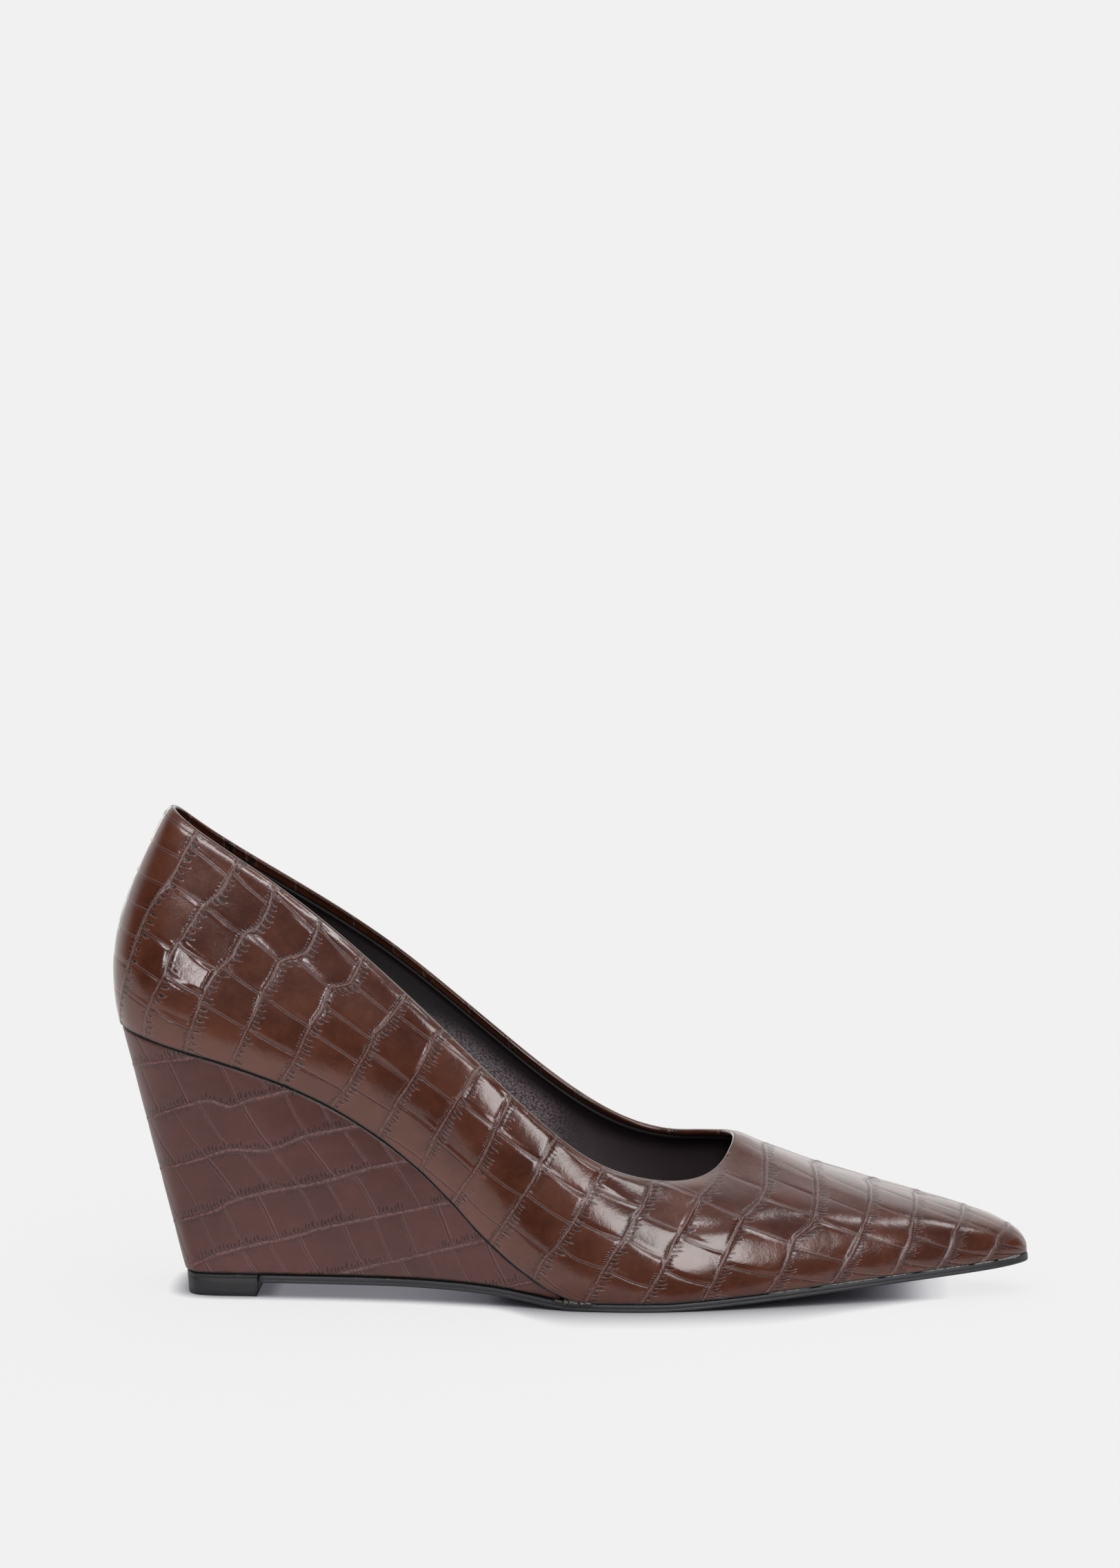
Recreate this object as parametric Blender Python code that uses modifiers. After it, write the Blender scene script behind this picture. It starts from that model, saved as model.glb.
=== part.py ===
"""Pointed court shoe on a wrapped wedge heel, right foot.

Frame: +X toe, +Y medial side, -Y lateral side, +Z up, floor at Z = 0, origin under the middle of the shoe.
Sizes in the tables are millimetres; the meshes are metres.
"""

import math

import bmesh
import bpy
import numpy as np

MM = 0.001

# Driving sizes (mm)
WALL = 1.8              # upper leather and lining together
INSOLE_THICK = 2.6      # board and sock
OUTSOLE_THICK = 2.0
FIT_GAP = 0.3           # between pieces that are cemented together
INSOLE_INSET = WALL + 0.4
WEDGE_INSET = 0.5       # wedge cover sits this far inside the lasted edge
OUTSOLE_WELT = 0.3      # outsole edge stands this far outside the lasted edge
WEDGE_FRONT_X = 121.5   # where the wedge runs out under the ball
OUTSOLE_BACK_X = 41.4
LIFT_FRONT_X = 41.0
LIFT_HEIGHT = 5.9
STEPS_PER_STATION = 4
WALL_ROWS = 13
WEDGE_ROWS = 4

# Height of the lasted edge along the shoe: heel seat, shank, flat tread, toe spring.
SOLE_LINE = (
    # x, height
    (-4.0, 74.2), (3.0, 71.8), (16.0, 68.0), (34.0, 62.9), (50.0, 57.2), (62.0, 51.4), (73.0, 44.5), (83.0, 36.8),
    (92.5, 27.8), (101.0, 18.8), (108.5, 12.2), (115.0, 7.6), (121.0, 4.2), (127.0, 2.3), (148.0, 2.3),
    (160.0, 2.9), (180.0, 4.4), (205.0, 6.7), (228.0, 8.7), (245.0, 10.3), (250.0, 10.8),
)

# Top of the outsole: flat under the wedge, falling to the tread.
OUTSOLE_LINE = (
    # x, height
    (20.0, 5.9), (75.0, 5.9), (92.0, 5.5), (104.0, 4.7), (114.0, 3.4), (121.0, 2.4), (127.0, 2.0), (148.0, 2.0),
    (160.0, 2.6), (180.0, 4.1), (205.0, 6.4), (228.0, 8.4), (245.0, 10.0), (250.0, 10.5),
)

# One row per station round the upper, heel to toe on the lateral side and back on the medial side.
# feather: the lasted edge in plan. collar: the topline. flare and rise shape the wall where it leaves
# the lasted edge (degrees outward, handle length), lean and reach where it arrives at the topline.
STATIONS = (
    # name, feather_x, feather_y, collar_x, collar_y, collar_z, flare, rise, lean, reach
    ("heel_back", 3.2, 0.0, 16.2, 0.2, 128.9, 14, 22, 27, 24),
    ("lat_heel_arc", 4.9, -12.5, 17.9, -5.6, 128.0, 15, 21, 26, 23),
    ("lat_heel_corner", 12.8, -21.4, 23.9, -9.8, 124.0, 18, 20, 23, 21),
    ("lat_seat", 30.0, -25.4, 37.5, -14.2, 115.4, 20, 18, 20, 18),
    ("lat_seat_front", 50.0, -25.6, 55.5, -20.0, 103.4, 20, 17, 19, 16),
    ("lat_shank", 69.0, -25.6, 73.0, -25.2, 89.6, 20, 16, 18, 15),
    ("lat_waist", 86.0, -26.8, 89.0, -28.6, 75.4, 20, 15, 17, 14),
    ("lat_waist_front", 101.0, -29.6, 104.0, -30.4, 61.2, 19, 14, 18, 14),
    ("lat_ball_rear", 115.0, -33.4, 119.0, -30.6, 47.6, 16, 13, 24, 13),
    ("lat_ball", 131.0, -36.4, 133.0, -28.9, 38.0, 13, 13, 38, 13),
    ("lat_ball_front", 148.0, -36.2, 146.5, -24.4, 33.7, 11, 14, 52, 13),
    ("lat_vamp_a", 167.0, -32.0, 155.5, -19.2, 33.2, 10, 15, 62, 17),
    ("lat_vamp_b", 188.0, -25.2, 160.8, -13.8, 34.6, 10, 15, 65, 22),
    ("lat_vamp_c", 209.0, -18.2, 163.9, -8.8, 37.0, 10, 15, 65, 29),
    ("lat_vamp_d", 227.0, -11.8, 165.6, -4.6, 39.5, 9, 14, 64, 35),
    ("lat_toe", 239.2, -5.8, 166.5, -0.8, 41.2, 7, 14, 63, 40),
    ("toe_tip", 244.2, 1.2, 166.4, 3.0, 41.9, 6, 14, 62, 42),
    ("med_toe", 240.0, 8.0, 165.3, 6.8, 41.9, 7, 14, 63, 39),
    ("med_vamp_d", 228.0, 14.2, 163.6, 10.6, 41.5, 9, 14, 64, 34),
    ("med_vamp_c", 211.0, 21.8, 160.4, 14.8, 40.8, 10, 15, 66, 28),
    ("med_vamp_b", 192.0, 29.6, 155.2, 19.4, 40.0, 10, 17, 68, 22),
    ("med_vamp_a", 173.0, 35.4, 147.0, 23.8, 39.6, 10, 18, 64, 18),
    ("med_ball", 155.0, 37.4, 135.0, 27.4, 42.8, 12, 17, 48, 15),
    ("med_ball_rear", 136.0, 34.0, 120.5, 29.0, 51.2, 15, 16, 33, 14),
    ("med_waist_front", 115.0, 27.0, 105.0, 29.2, 63.2, 19, 16, 23, 14),
    ("med_waist", 101.0, 23.0, 90.0, 28.0, 75.8, 23, 16, 18, 14),
    ("med_shank_front", 86.0, 21.0, 74.0, 25.2, 88.9, 25, 17, 17, 15),
    ("med_shank", 69.0, 22.4, 56.0, 20.0, 101.8, 24, 17, 18, 16),
    ("med_seat_front", 50.0, 24.8, 38.0, 14.4, 113.6, 22, 18, 20, 18),
    ("med_seat", 30.0, 25.3, 24.6, 10.0, 122.8, 20, 18, 22, 20),
    ("med_heel_corner", 12.8, 21.4, 18.2, 5.8, 127.8, 18, 20, 26, 22),
    ("med_heel_arc", 4.9, 12.5, 16.5, 2.9, 128.8, 15, 21, 27, 24),
)

# Foot of the wedge, as half-widths of its plan from the back of the top lift to its front edge.
WEDGE_FOOT = (
    # x, lateral, medial
    (20.4, 0.0, 0.0), (20.7, 8.0, 8.0), (21.8, 14.6, 14.6), (25.4, 18.6, 18.6), (33.0, 19.9, 19.9), (44.0, 20.4, 20.2),
    (60.0, 21.4, 19.6), (80.0, 23.6, 18.9), (100.0, 27.6, 21.2), (112.0, 31.0, 25.0), (121.5, 33.8, 28.6),
)

# Top lift, plan half-widths.
LIFT_PLAN = (
    # x, half width
    (20.9, 0.0), (21.2, 9.0), (22.1, 14.4), (25.2, 17.9), (31.0, 19.0), (41.0, 19.3),
)
LIFT_DRAFT = 0.06       # the lift narrows this fraction towards the floor


def monotone(table, column, x):
    """Smooth curve through one column of a table, with no overshoot between rows."""
    rows = np.array(table, float)
    xs, ys, x = rows[:, 0], rows[:, column], np.asarray(x, float)
    h = np.diff(xs)
    s = np.diff(ys) / h
    d = np.zeros(len(xs))
    for k in range(1, len(xs) - 1):
        if s[k - 1] * s[k] > 0:
            a, b = 2 * h[k] + h[k - 1], h[k] + 2 * h[k - 1]
            d[k] = (a + b) / (a / s[k - 1] + b / s[k])
    d[0], d[-1] = s[0], s[-1]
    i = np.clip(np.searchsorted(xs, x) - 1, 0, len(h) - 1)
    t = (x - xs[i]) / h[i]
    return (
        ys[i] * (1 + 2 * t) * (1 - t) ** 2
        + h[i] * d[i] * t * (1 - t) ** 2
        + ys[i + 1] * t * t * (3 - 2 * t)
        + h[i] * d[i + 1] * t * t * (t - 1)
    )


def sole_height(x):
    return monotone(SOLE_LINE, 1, x)


def outsole_height(x):
    return monotone(OUTSOLE_LINE, 1, x)


def closed_spline(knots, values, at):
    """Closed cubic spline with smooth curvature, one row of values per knot."""
    n = len(values)
    h = np.diff(knots)
    before, after = np.roll(np.arange(n), 1), np.roll(np.arange(n), -1)
    system, right = np.zeros((n, n)), np.zeros_like(values)
    for i in range(n):
        back, on = h[before[i]], h[i]
        system[i, before[i]] += back
        system[i, i] += 2 * (back + on)
        system[i, after[i]] += on
        right[i] = 6 * ((values[after[i]] - values[i]) / on - (values[i] - values[before[i]]) / back)
    bend = np.linalg.solve(system, right)
    at = np.mod(at, knots[-1])
    i = np.clip(np.searchsorted(knots, at, side="right") - 1, 0, n - 1)
    j = after[i]
    width = h[i][:, None]
    a = (knots[i + 1] - at)[:, None] / width
    b = 1 - a
    return a * values[i] + b * values[j] + ((a**3 - a) * bend[i] + (b**3 - b) * bend[j]) * width**2 / 6


STATION_VALUES = np.array([row[1:] for row in STATIONS], float)


def station_knots():
    """Ring position of each station: mean of the feather and topline lengths."""
    feather = np.c_[STATION_VALUES[:, :2], sole_height(STATION_VALUES[:, 0])]
    collar = STATION_VALUES[:, 2:5]
    steps = [np.linalg.norm(np.roll(p, -1, 0) - p, axis=1) for p in (feather, collar)]
    return np.r_[0.0, np.cumsum(0.5 * (steps[0] + steps[1]))]


KNOTS = station_knots()


def ring_positions(steps):
    """The same number of equal steps between each two stations."""
    gaps = np.diff(KNOTS)[:, None]
    return (KNOTS[:-1, None] + gaps * np.arange(steps)[None, :] / steps).ravel()


def outward(step):
    """Plan normal on the right of the ring's travel."""
    normal = np.c_[step[:, 1], -step[:, 0]]
    return np.c_[normal / np.linalg.norm(normal, axis=1)[:, None], np.zeros(len(normal))]


def ring(at):
    """Feather and topline points, their plan normals and the wall columns."""
    at = np.asarray(at, float)
    row = closed_spline(KNOTS, STATION_VALUES, at)
    step = closed_spline(KNOTS, STATION_VALUES, at + 0.05) - closed_spline(KNOTS, STATION_VALUES, at - 0.05)
    feather = np.c_[row[:, :2], sole_height(row[:, 0])]
    return feather, row[:, 2:5], outward(step[:, :2]), outward(step[:, 2:4]), row[:, 5:9]


def wall_points(at, rows):
    """Outer face of the upper: one cubic from the lasted edge to the topline at each ring position."""
    feather, collar, out_low, out_high, shape = ring(at)
    up = np.array((0.0, 0.0, 1.0))
    flare, lean = np.radians(shape[:, 0:1]), np.radians(shape[:, 2:3])
    low = feather + shape[:, 1:2] * (np.sin(flare) * out_low + np.cos(flare) * up)
    high = collar + shape[:, 3:4] * (np.sin(lean) * out_high - np.cos(lean) * up)
    v = np.linspace(0.0, 1.0, rows)[None, :, None]
    a, b, c, d = (p[:, None, :] for p in (feather, low, high, collar))
    return (1 - v) ** 3 * a + 3 * (1 - v) ** 2 * v * b + 3 * (1 - v) * v**2 * c + v**3 * d


def lasted_outline(offset, count):
    """Plan of the lasted edge moved outward by offset, as heel-to-toe points with lateral and medial sides."""
    feather, _, out_low, _, _ = ring(np.linspace(0.0, KNOTS[-1], count, endpoint=False))
    plan = feather[:, :2] + offset * out_low[:, :2]
    plan = np.roll(plan, -int(np.argmin(plan[:, 0])), axis=0)
    tip = int(np.argmax(plan[:, 0]))
    return plan[: tip + 1], np.r_[plan[tip:], plan[:1]][::-1]


def sides(offset, x):
    """Lateral and medial y of the moved lasted edge at each x."""
    lateral, medial = lasted_outline(offset, 1600)
    return np.interp(x, lateral[:, 0], lateral[:, 1]), np.interp(x, medial[:, 0], medial[:, 1])


def eased(start, end, count, ease_start=True, ease_end=True):
    """Steps along x that crowd where the outline turns across the shoe."""
    u = np.linspace(0.0, 1.0, count)
    if ease_start and ease_end:
        u = 0.65 * (0.5 - 0.5 * np.cos(math.pi * u)) + 0.35 * (3 * u**2 - 2 * u**3)
    elif ease_start:
        u = 0.8 * u**2 + 0.2 * u**3
    elif ease_end:
        u = 1 - (0.8 * (1 - u) ** 2 + 0.2 * (1 - u) ** 3)
    return start + (end - start) * u


def profile_normal(x, height):
    """Upward normal of a height line, in the x-z plane."""
    slope = (height(x + 0.05) - height(x - 0.05)) / 0.1
    length = np.sqrt(1 + slope**2)
    return -slope / length, 1 / length


class Solid:
    """Collects points and faces, then becomes one named object with its own material."""

    def __init__(self, name, colour, roughness, coat=0.0):
        self.name, self.colour, self.roughness, self.coat = name, colour, roughness, coat
        self.mesh = bmesh.new()

    def points(self, coordinates):
        return [self.mesh.verts.new((x * MM, y * MM, z * MM)) for x, y, z in coordinates]

    def face(self, *corners):
        kept = [p for k, p in enumerate(corners) if p is not corners[k - 1]]
        if len(kept) > 2:
            self.mesh.faces.new(kept)

    def strip(self, first, second):
        for k in range(len(first) - 1):
            self.face(first[k], first[k + 1], second[k + 1], second[k])

    def finish(self, collection, smooth=True):
        bmesh.ops.recalc_face_normals(self.mesh, faces=self.mesh.faces[:])
        data = bpy.data.meshes.new(self.name)
        self.mesh.to_mesh(data)
        self.mesh.free()
        for polygon in data.polygons:
            polygon.use_smooth = smooth
        material = bpy.data.materials.new(self.name + "_material")
        material.use_nodes = True
        shader = material.node_tree.nodes["Principled BSDF"]
        shader.inputs["Base Color"].default_value = (*self.colour, 1.0)
        shader.inputs["Roughness"].default_value = self.roughness
        shader.inputs["Metallic"].default_value = 0.0
        shader.inputs["Coat Weight"].default_value = self.coat
        data.materials.append(material)
        item = bpy.data.objects.new(self.name, data)
        collection.objects.link(item)
        return item


def paired_solid(solid, levels):
    """Closed solid through levels of (lateral points, medial points), the first level on top.

    Where the two sides of a level meet in one point, that point is shared."""
    built = []
    for lateral, medial in levels:
        near = solid.points(lateral)
        far = [n if math.dist(a, b) < 1e-6 else None for n, a, b in zip(near, lateral, medial)]
        fresh = iter(solid.points([b for f, b in zip(far, medial) if f is None]))
        built.append((near, [f or next(fresh) for f in far]))
    for near, far in (built[0], built[-1]):
        solid.strip(near, far)
    for upper_level, lower_level in zip(built, built[1:]):
        for side in (0, 1):
            solid.strip(upper_level[side], lower_level[side])
        for end in (0, -1):
            if upper_level[0][end] is not upper_level[1][end]:
                solid.face(upper_level[0][end], upper_level[1][end], lower_level[1][end], lower_level[0][end])


def build_upper(collection):
    """Lasted shell, open at the collar and underneath."""
    shell = Solid("upper", (0.058, 0.022, 0.013), 0.28, coat=0.4)
    grid = wall_points(ring_positions(STEPS_PER_STATION), WALL_ROWS)
    columns = [shell.points(column) for column in grid]
    for k, column in enumerate(columns):
        shell.strip(column, columns[(k + 1) % len(columns)])
    item = shell.finish(collection)
    thickness = item.modifiers.new("wall", "SOLIDIFY")
    thickness.thickness = WALL * MM
    thickness.offset = -1.0
    thickness.use_even_offset = True
    return item


def build_insole(collection):
    """Board and sock inside the lasted edge, following the shank."""
    solid = Solid("insole", (0.012, 0.011, 0.012), 0.6)
    lateral, medial = lasted_outline(-INSOLE_INSET, 1600)
    x = eased(lateral[0, 0], lateral[-1, 0], 72)
    y_lat, y_med = sides(-INSOLE_INSET, x)
    y_lat[0] = y_med[0] = 0.5 * (y_lat[0] + y_med[0])
    y_lat[-1] = y_med[-1] = 0.5 * (y_lat[-1] + y_med[-1])
    nx, nz = profile_normal(x, sole_height)
    levels = []
    for lift in (INSOLE_THICK, 0.0):
        px, pz = x + lift * nx, sole_height(x) + lift * nz
        levels.append((np.c_[px, y_lat, pz], np.c_[px, y_med, pz]))
    paired_solid(solid, levels)
    return solid.finish(collection, smooth=False)


def build_wedge(collection):
    """Wedge between the lasted edge and the flat outsole, narrowing to the top lift."""
    solid = Solid("wedge_heel", (0.065, 0.026, 0.016), 0.36, coat=0.25)
    lateral, _ = lasted_outline(-WEDGE_INSET, 1600)
    top_x = eased(lateral[0, 0], WEDGE_FRONT_X, 46, ease_end=False)
    top_lat, top_med = sides(-WEDGE_INSET, top_x)
    top_lat[0] = top_med[0] = 0.0
    reach = (top_x - top_x[0]) / (WEDGE_FRONT_X - top_x[0])
    foot_x = WEDGE_FOOT[0][0] + (WEDGE_FRONT_X - WEDGE_FOOT[0][0]) * reach
    foot_lat, foot_med = -monotone(WEDGE_FOOT, 1, foot_x), monotone(WEDGE_FOOT, 2, foot_x)
    top_z, foot_z = sole_height(top_x) - 1.2 * FIT_GAP, outsole_height(foot_x) + FIT_GAP
    levels = []
    for part in np.linspace(0.0, 1.0, WEDGE_ROWS):
        x, z = top_x + part * (foot_x - top_x), top_z + part * (foot_z - top_z)
        lat, med = top_lat + part * (foot_lat - top_lat), top_med + part * (foot_med - top_med)
        levels.append((np.c_[x, lat, z], np.c_[x, med, z]))
    paired_solid(solid, levels)
    return solid.finish(collection, smooth=False)


def build_outsole(collection):
    """Thin sole from the top lift to the toe, flat at the tread, sprung at the toe."""
    solid = Solid("outsole", (0.02, 0.021, 0.023), 0.55)
    lateral, _ = lasted_outline(OUTSOLE_WELT, 1600)
    x = eased(OUTSOLE_BACK_X, lateral[-1, 0], 78, ease_start=False)
    front_lat, front_med = sides(OUTSOLE_WELT, x)
    under_lat = -monotone(WEDGE_FOOT, 1, np.minimum(x, WEDGE_FRONT_X)) - 0.4
    under_med = monotone(WEDGE_FOOT, 2, np.minimum(x, WEDGE_FRONT_X)) + 0.4
    blend = np.clip((x - 108.0) / 18.0, 0.0, 1.0)
    blend = blend * blend * (3 - 2 * blend)
    y_lat = under_lat + blend * (front_lat - under_lat)
    y_med = under_med + blend * (front_med - under_med)
    y_lat[-1] = y_med[-1] = 0.5 * (y_lat[-1] + y_med[-1])
    nx, nz = profile_normal(x, outsole_height)
    levels = []
    for drop in (0.0, OUTSOLE_THICK):
        px, pz = x - drop * nx, outsole_height(x) - drop * nz
        levels.append((np.c_[px, y_lat, pz], np.c_[px, y_med, pz]))
    paired_solid(solid, levels)
    return solid.finish(collection, smooth=False)


def build_lift(collection):
    """Top lift under the back of the wedge, flat on the floor."""
    solid = Solid("top_lift", (0.016, 0.017, 0.019), 0.5)
    x = eased(LIFT_PLAN[0][0], LIFT_FRONT_X, 22, ease_end=False)
    half = monotone(LIFT_PLAN, 1, x)
    levels = []
    for z, draft in ((LIFT_HEIGHT, 0.0), (0.0, LIFT_DRAFT)):
        px = x + draft * (LIFT_FRONT_X - x)
        narrow = half * (1 - 0.5 * draft)
        levels.append((np.c_[px, -narrow, np.full_like(x, z)], np.c_[px, narrow, np.full_like(x, z)]))
    paired_solid(solid, levels)
    return solid.finish(collection, smooth=False)


def centre_on_origin(items):
    """Puts the middle of the whole shoe's box over the origin, floor at zero."""
    bpy.context.view_layer.update()
    graph = bpy.context.evaluated_depsgraph_get()
    corners = np.array([corner for item in items for corner in item.evaluated_get(graph).bound_box])
    middle = 0.5 * (corners.min(axis=0) + corners.max(axis=0))
    for item in items:
        for vertex in item.data.vertices:
            vertex.co.x -= middle[0]
            vertex.co.y -= middle[1]


def main():
    for item in list(bpy.data.objects):
        bpy.data.objects.remove(item, do_unlink=True)
    bpy.context.scene.unit_settings.system = "METRIC"
    collection = bpy.data.collections.new("wedge_court_shoe")
    bpy.context.scene.collection.children.link(collection)
    items = [
        build_upper(collection),
        build_insole(collection),
        build_wedge(collection),
        build_outsole(collection),
        build_lift(collection),
    ]
    centre_on_origin(items)


main()
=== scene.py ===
import math

import bmesh
import bpy
import numpy as np
from mathutils import Matrix, Vector


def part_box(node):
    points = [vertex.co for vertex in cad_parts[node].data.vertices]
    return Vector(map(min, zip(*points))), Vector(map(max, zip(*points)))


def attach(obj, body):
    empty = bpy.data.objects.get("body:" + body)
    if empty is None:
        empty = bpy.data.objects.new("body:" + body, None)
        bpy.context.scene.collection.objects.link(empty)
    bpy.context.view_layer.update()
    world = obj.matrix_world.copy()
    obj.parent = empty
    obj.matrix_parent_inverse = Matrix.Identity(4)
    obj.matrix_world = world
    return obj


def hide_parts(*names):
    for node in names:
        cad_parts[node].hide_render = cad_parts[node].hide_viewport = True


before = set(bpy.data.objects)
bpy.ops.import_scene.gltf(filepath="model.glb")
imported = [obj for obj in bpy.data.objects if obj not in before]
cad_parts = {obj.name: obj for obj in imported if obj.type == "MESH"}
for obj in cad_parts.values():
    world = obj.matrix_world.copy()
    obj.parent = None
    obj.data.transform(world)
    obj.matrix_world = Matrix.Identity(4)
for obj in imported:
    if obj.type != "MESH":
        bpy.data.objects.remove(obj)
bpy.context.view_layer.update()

MM = 0.001

# ---------------------------------------------------------------------------
# Sizes of the shoe (mm, x from the heel, -y the lateral side), as in the part.
# ---------------------------------------------------------------------------
WALL = 1.8
SKIN = 0.9              # grain leather of the upper, outside its lining
INSOLE_THICK = 2.6
OUTSOLE_THICK = 2.0
FIT_GAP = 0.3
INSOLE_INSET = WALL + 0.4
WEDGE_INSET = 0.5
OUTSOLE_WELT = 0.3
WEDGE_FRONT_X = 121.5
OUTSOLE_BACK_X = 41.4
LIFT_FRONT_X = 41.0
LIFT_HEIGHT = 5.9

SOLE_LINE = (
    # x, height
    (-4.0, 74.2), (3.0, 71.8), (16.0, 68.0), (34.0, 62.9), (50.0, 57.2), (62.0, 51.4), (73.0, 44.5), (83.0, 36.8),
    (92.5, 27.8), (101.0, 18.8), (108.5, 12.2), (115.0, 7.6), (121.0, 4.2), (127.0, 2.3), (148.0, 2.3),
    (160.0, 2.9), (180.0, 4.4), (205.0, 6.7), (228.0, 8.7), (245.0, 10.3), (250.0, 10.8),
)
OUTSOLE_LINE = (
    # x, height
    (20.0, 5.9), (75.0, 5.9), (92.0, 5.5), (104.0, 4.7), (114.0, 3.4), (121.0, 2.4), (127.0, 2.0), (148.0, 2.0),
    (160.0, 2.6), (180.0, 4.1), (205.0, 6.4), (228.0, 8.4), (245.0, 10.0), (250.0, 10.5),
)
STATIONS = (
    # feather_x, feather_y, collar_x, collar_y, collar_z, flare, rise, lean, reach: lateral side, then medial
    (3.2, 0.0, 16.2, 0.2, 128.9, 14, 22, 27, 24),
    (4.9, -12.5, 17.9, -5.6, 128.0, 15, 21, 26, 23),
    (12.8, -21.4, 23.9, -9.8, 124.0, 18, 20, 23, 21),
    (30.0, -25.4, 37.5, -14.2, 115.4, 20, 18, 20, 18),
    (50.0, -25.6, 55.5, -20.0, 103.4, 20, 17, 19, 16),
    (69.0, -25.6, 73.0, -25.2, 89.6, 20, 16, 18, 15),
    (86.0, -26.8, 89.0, -28.6, 75.4, 20, 15, 17, 14),
    (101.0, -29.6, 104.0, -30.4, 61.2, 19, 14, 18, 14),
    (115.0, -33.4, 119.0, -30.6, 47.6, 16, 13, 24, 13),
    (131.0, -36.4, 133.0, -28.9, 38.0, 13, 13, 38, 13),
    (148.0, -36.2, 146.5, -24.4, 33.7, 11, 14, 52, 13),
    (167.0, -32.0, 155.5, -19.2, 33.2, 10, 15, 62, 17),
    (188.0, -25.2, 160.8, -13.8, 34.6, 10, 15, 65, 22),
    (209.0, -18.2, 163.9, -8.8, 37.0, 10, 15, 65, 29),
    (227.0, -11.8, 165.6, -4.6, 39.5, 9, 14, 64, 35),
    (239.2, -5.8, 166.5, -0.8, 41.2, 7, 14, 63, 40),
    (244.2, 1.2, 166.4, 3.0, 41.9, 6, 14, 62, 42),
    (240.0, 8.0, 165.3, 6.8, 41.9, 7, 14, 63, 39),
    (228.0, 14.2, 163.6, 10.6, 41.5, 9, 14, 64, 34),
    (211.0, 21.8, 160.4, 14.8, 40.8, 10, 15, 66, 28),
    (192.0, 29.6, 155.2, 19.4, 40.0, 10, 17, 68, 22),
    (173.0, 35.4, 147.0, 23.8, 39.6, 10, 18, 64, 18),
    (155.0, 37.4, 135.0, 27.4, 42.8, 12, 17, 48, 15),
    (136.0, 34.0, 120.5, 29.0, 51.2, 15, 16, 33, 14),
    (115.0, 27.0, 105.0, 29.2, 63.2, 19, 16, 23, 14),
    (101.0, 23.0, 90.0, 28.0, 75.8, 23, 16, 18, 14),
    (86.0, 21.0, 74.0, 25.2, 88.9, 25, 17, 17, 15),
    (69.0, 22.4, 56.0, 20.0, 101.8, 24, 17, 18, 16),
    (50.0, 24.8, 38.0, 14.4, 113.6, 22, 18, 20, 18),
    (30.0, 25.3, 24.6, 10.0, 122.8, 20, 18, 22, 20),
    (12.8, 21.4, 18.2, 5.8, 127.8, 18, 20, 26, 22),
    (4.9, 12.5, 16.5, 2.9, 128.8, 15, 21, 27, 24),
)
WEDGE_FOOT = (
    # x, lateral, medial
    (20.4, 0.0, 0.0), (20.7, 8.0, 8.0), (21.8, 14.6, 14.6), (25.4, 18.6, 18.6), (33.0, 19.9, 19.9), (44.0, 20.4, 20.2),
    (60.0, 21.4, 19.6), (80.0, 23.6, 18.9), (100.0, 27.6, 21.2), (112.0, 31.0, 25.0), (121.5, 33.8, 28.6),
)
LIFT_PLAN = (
    # x, half width
    (20.9, 0.0), (21.2, 9.0), (22.1, 14.4), (25.2, 17.9), (31.0, 19.0), (41.0, 19.3),
)
LIFT_DRAFT = 0.06

# ---------------------------------------------------------------------------
# Chart of the embossed scales.
# ---------------------------------------------------------------------------
# Cords of the quarter: ring distance from the heel (mm) at these shares of the wall height.
QUARTER_AT = (0.0, 0.20, 0.35, 0.45, 0.54, 0.62, 0.68, 0.72, 0.78, 0.88, 1.0)
QUARTER_CORDS = (
    (8.2, 12.4, 13.7, 14.0, 14.3, 14.9, 15.6, 16.5, 17.5, 18.5, 21.0),
    (18.3, 20.8, 23.0, 23.4, 25.2, 26.3, 27.3, 28.8, 31.0, 33.1, 35.4),
    (29.8, 32.1, 33.9, 35.8, 38.7, 39.7, 41.2, 43.6, 45.1, 46.4, 46.9),
    (42.0, 45.7, 48.2, 49.2, 50.9, 52.0, 54.6, 57.4, 59.6, 61.0, 62.5),
    (56.5, 60.9, 63.2, 65.0, 66.7, 67.4, 68.2, 70.7, 73.6, 75.2, 77.0),
    (71.7, 76.8, 79.5, 81.3, 82.5, 83.4, 85.2, 86.2, 87.4, 89.6, 91.8),
    (86.3, 90.5, 93.1, 95.2, 96.9, 98.3, 99.3, 99.9, 100.8, 102.2, 106.0),
    (100.7, 104.2, 106.6, 108.4, 110.1, 111.6, 112.7, 113.6, 114.8, 116.6, 119.9),
    (112.4, 116.9, 120.3, 122.3, 123.8, 125.0, 125.7, 126.2, 127.1, 128.5, 130.6),
    (127.2, 131.8, 135.0, 136.8, 138.5, 139.8, 140.4, 140.7, 141.8, 143.5, 145.6),
    (142.8, 145.9, 149.5, 151.4, 152.9, 154.0, 154.8, 155.2, 156.2, 158.3, 160.3),
    (157.6, 161.2, 163.7, 165.7, 167.0, 168.0, 169.6, 170.4, 171.2, 172.8, 175.8),
    (171.6, 175.5, 177.2, 178.8, 180.8, 182.5, 183.6, 184.5, 186.4, 194.5, 209.5),
    (184.8, 188.4, 190.2, 192.4, 194.0, 200.2, 204.0, 207.0, 212.0, 228.0, 275.0),
)
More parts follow.
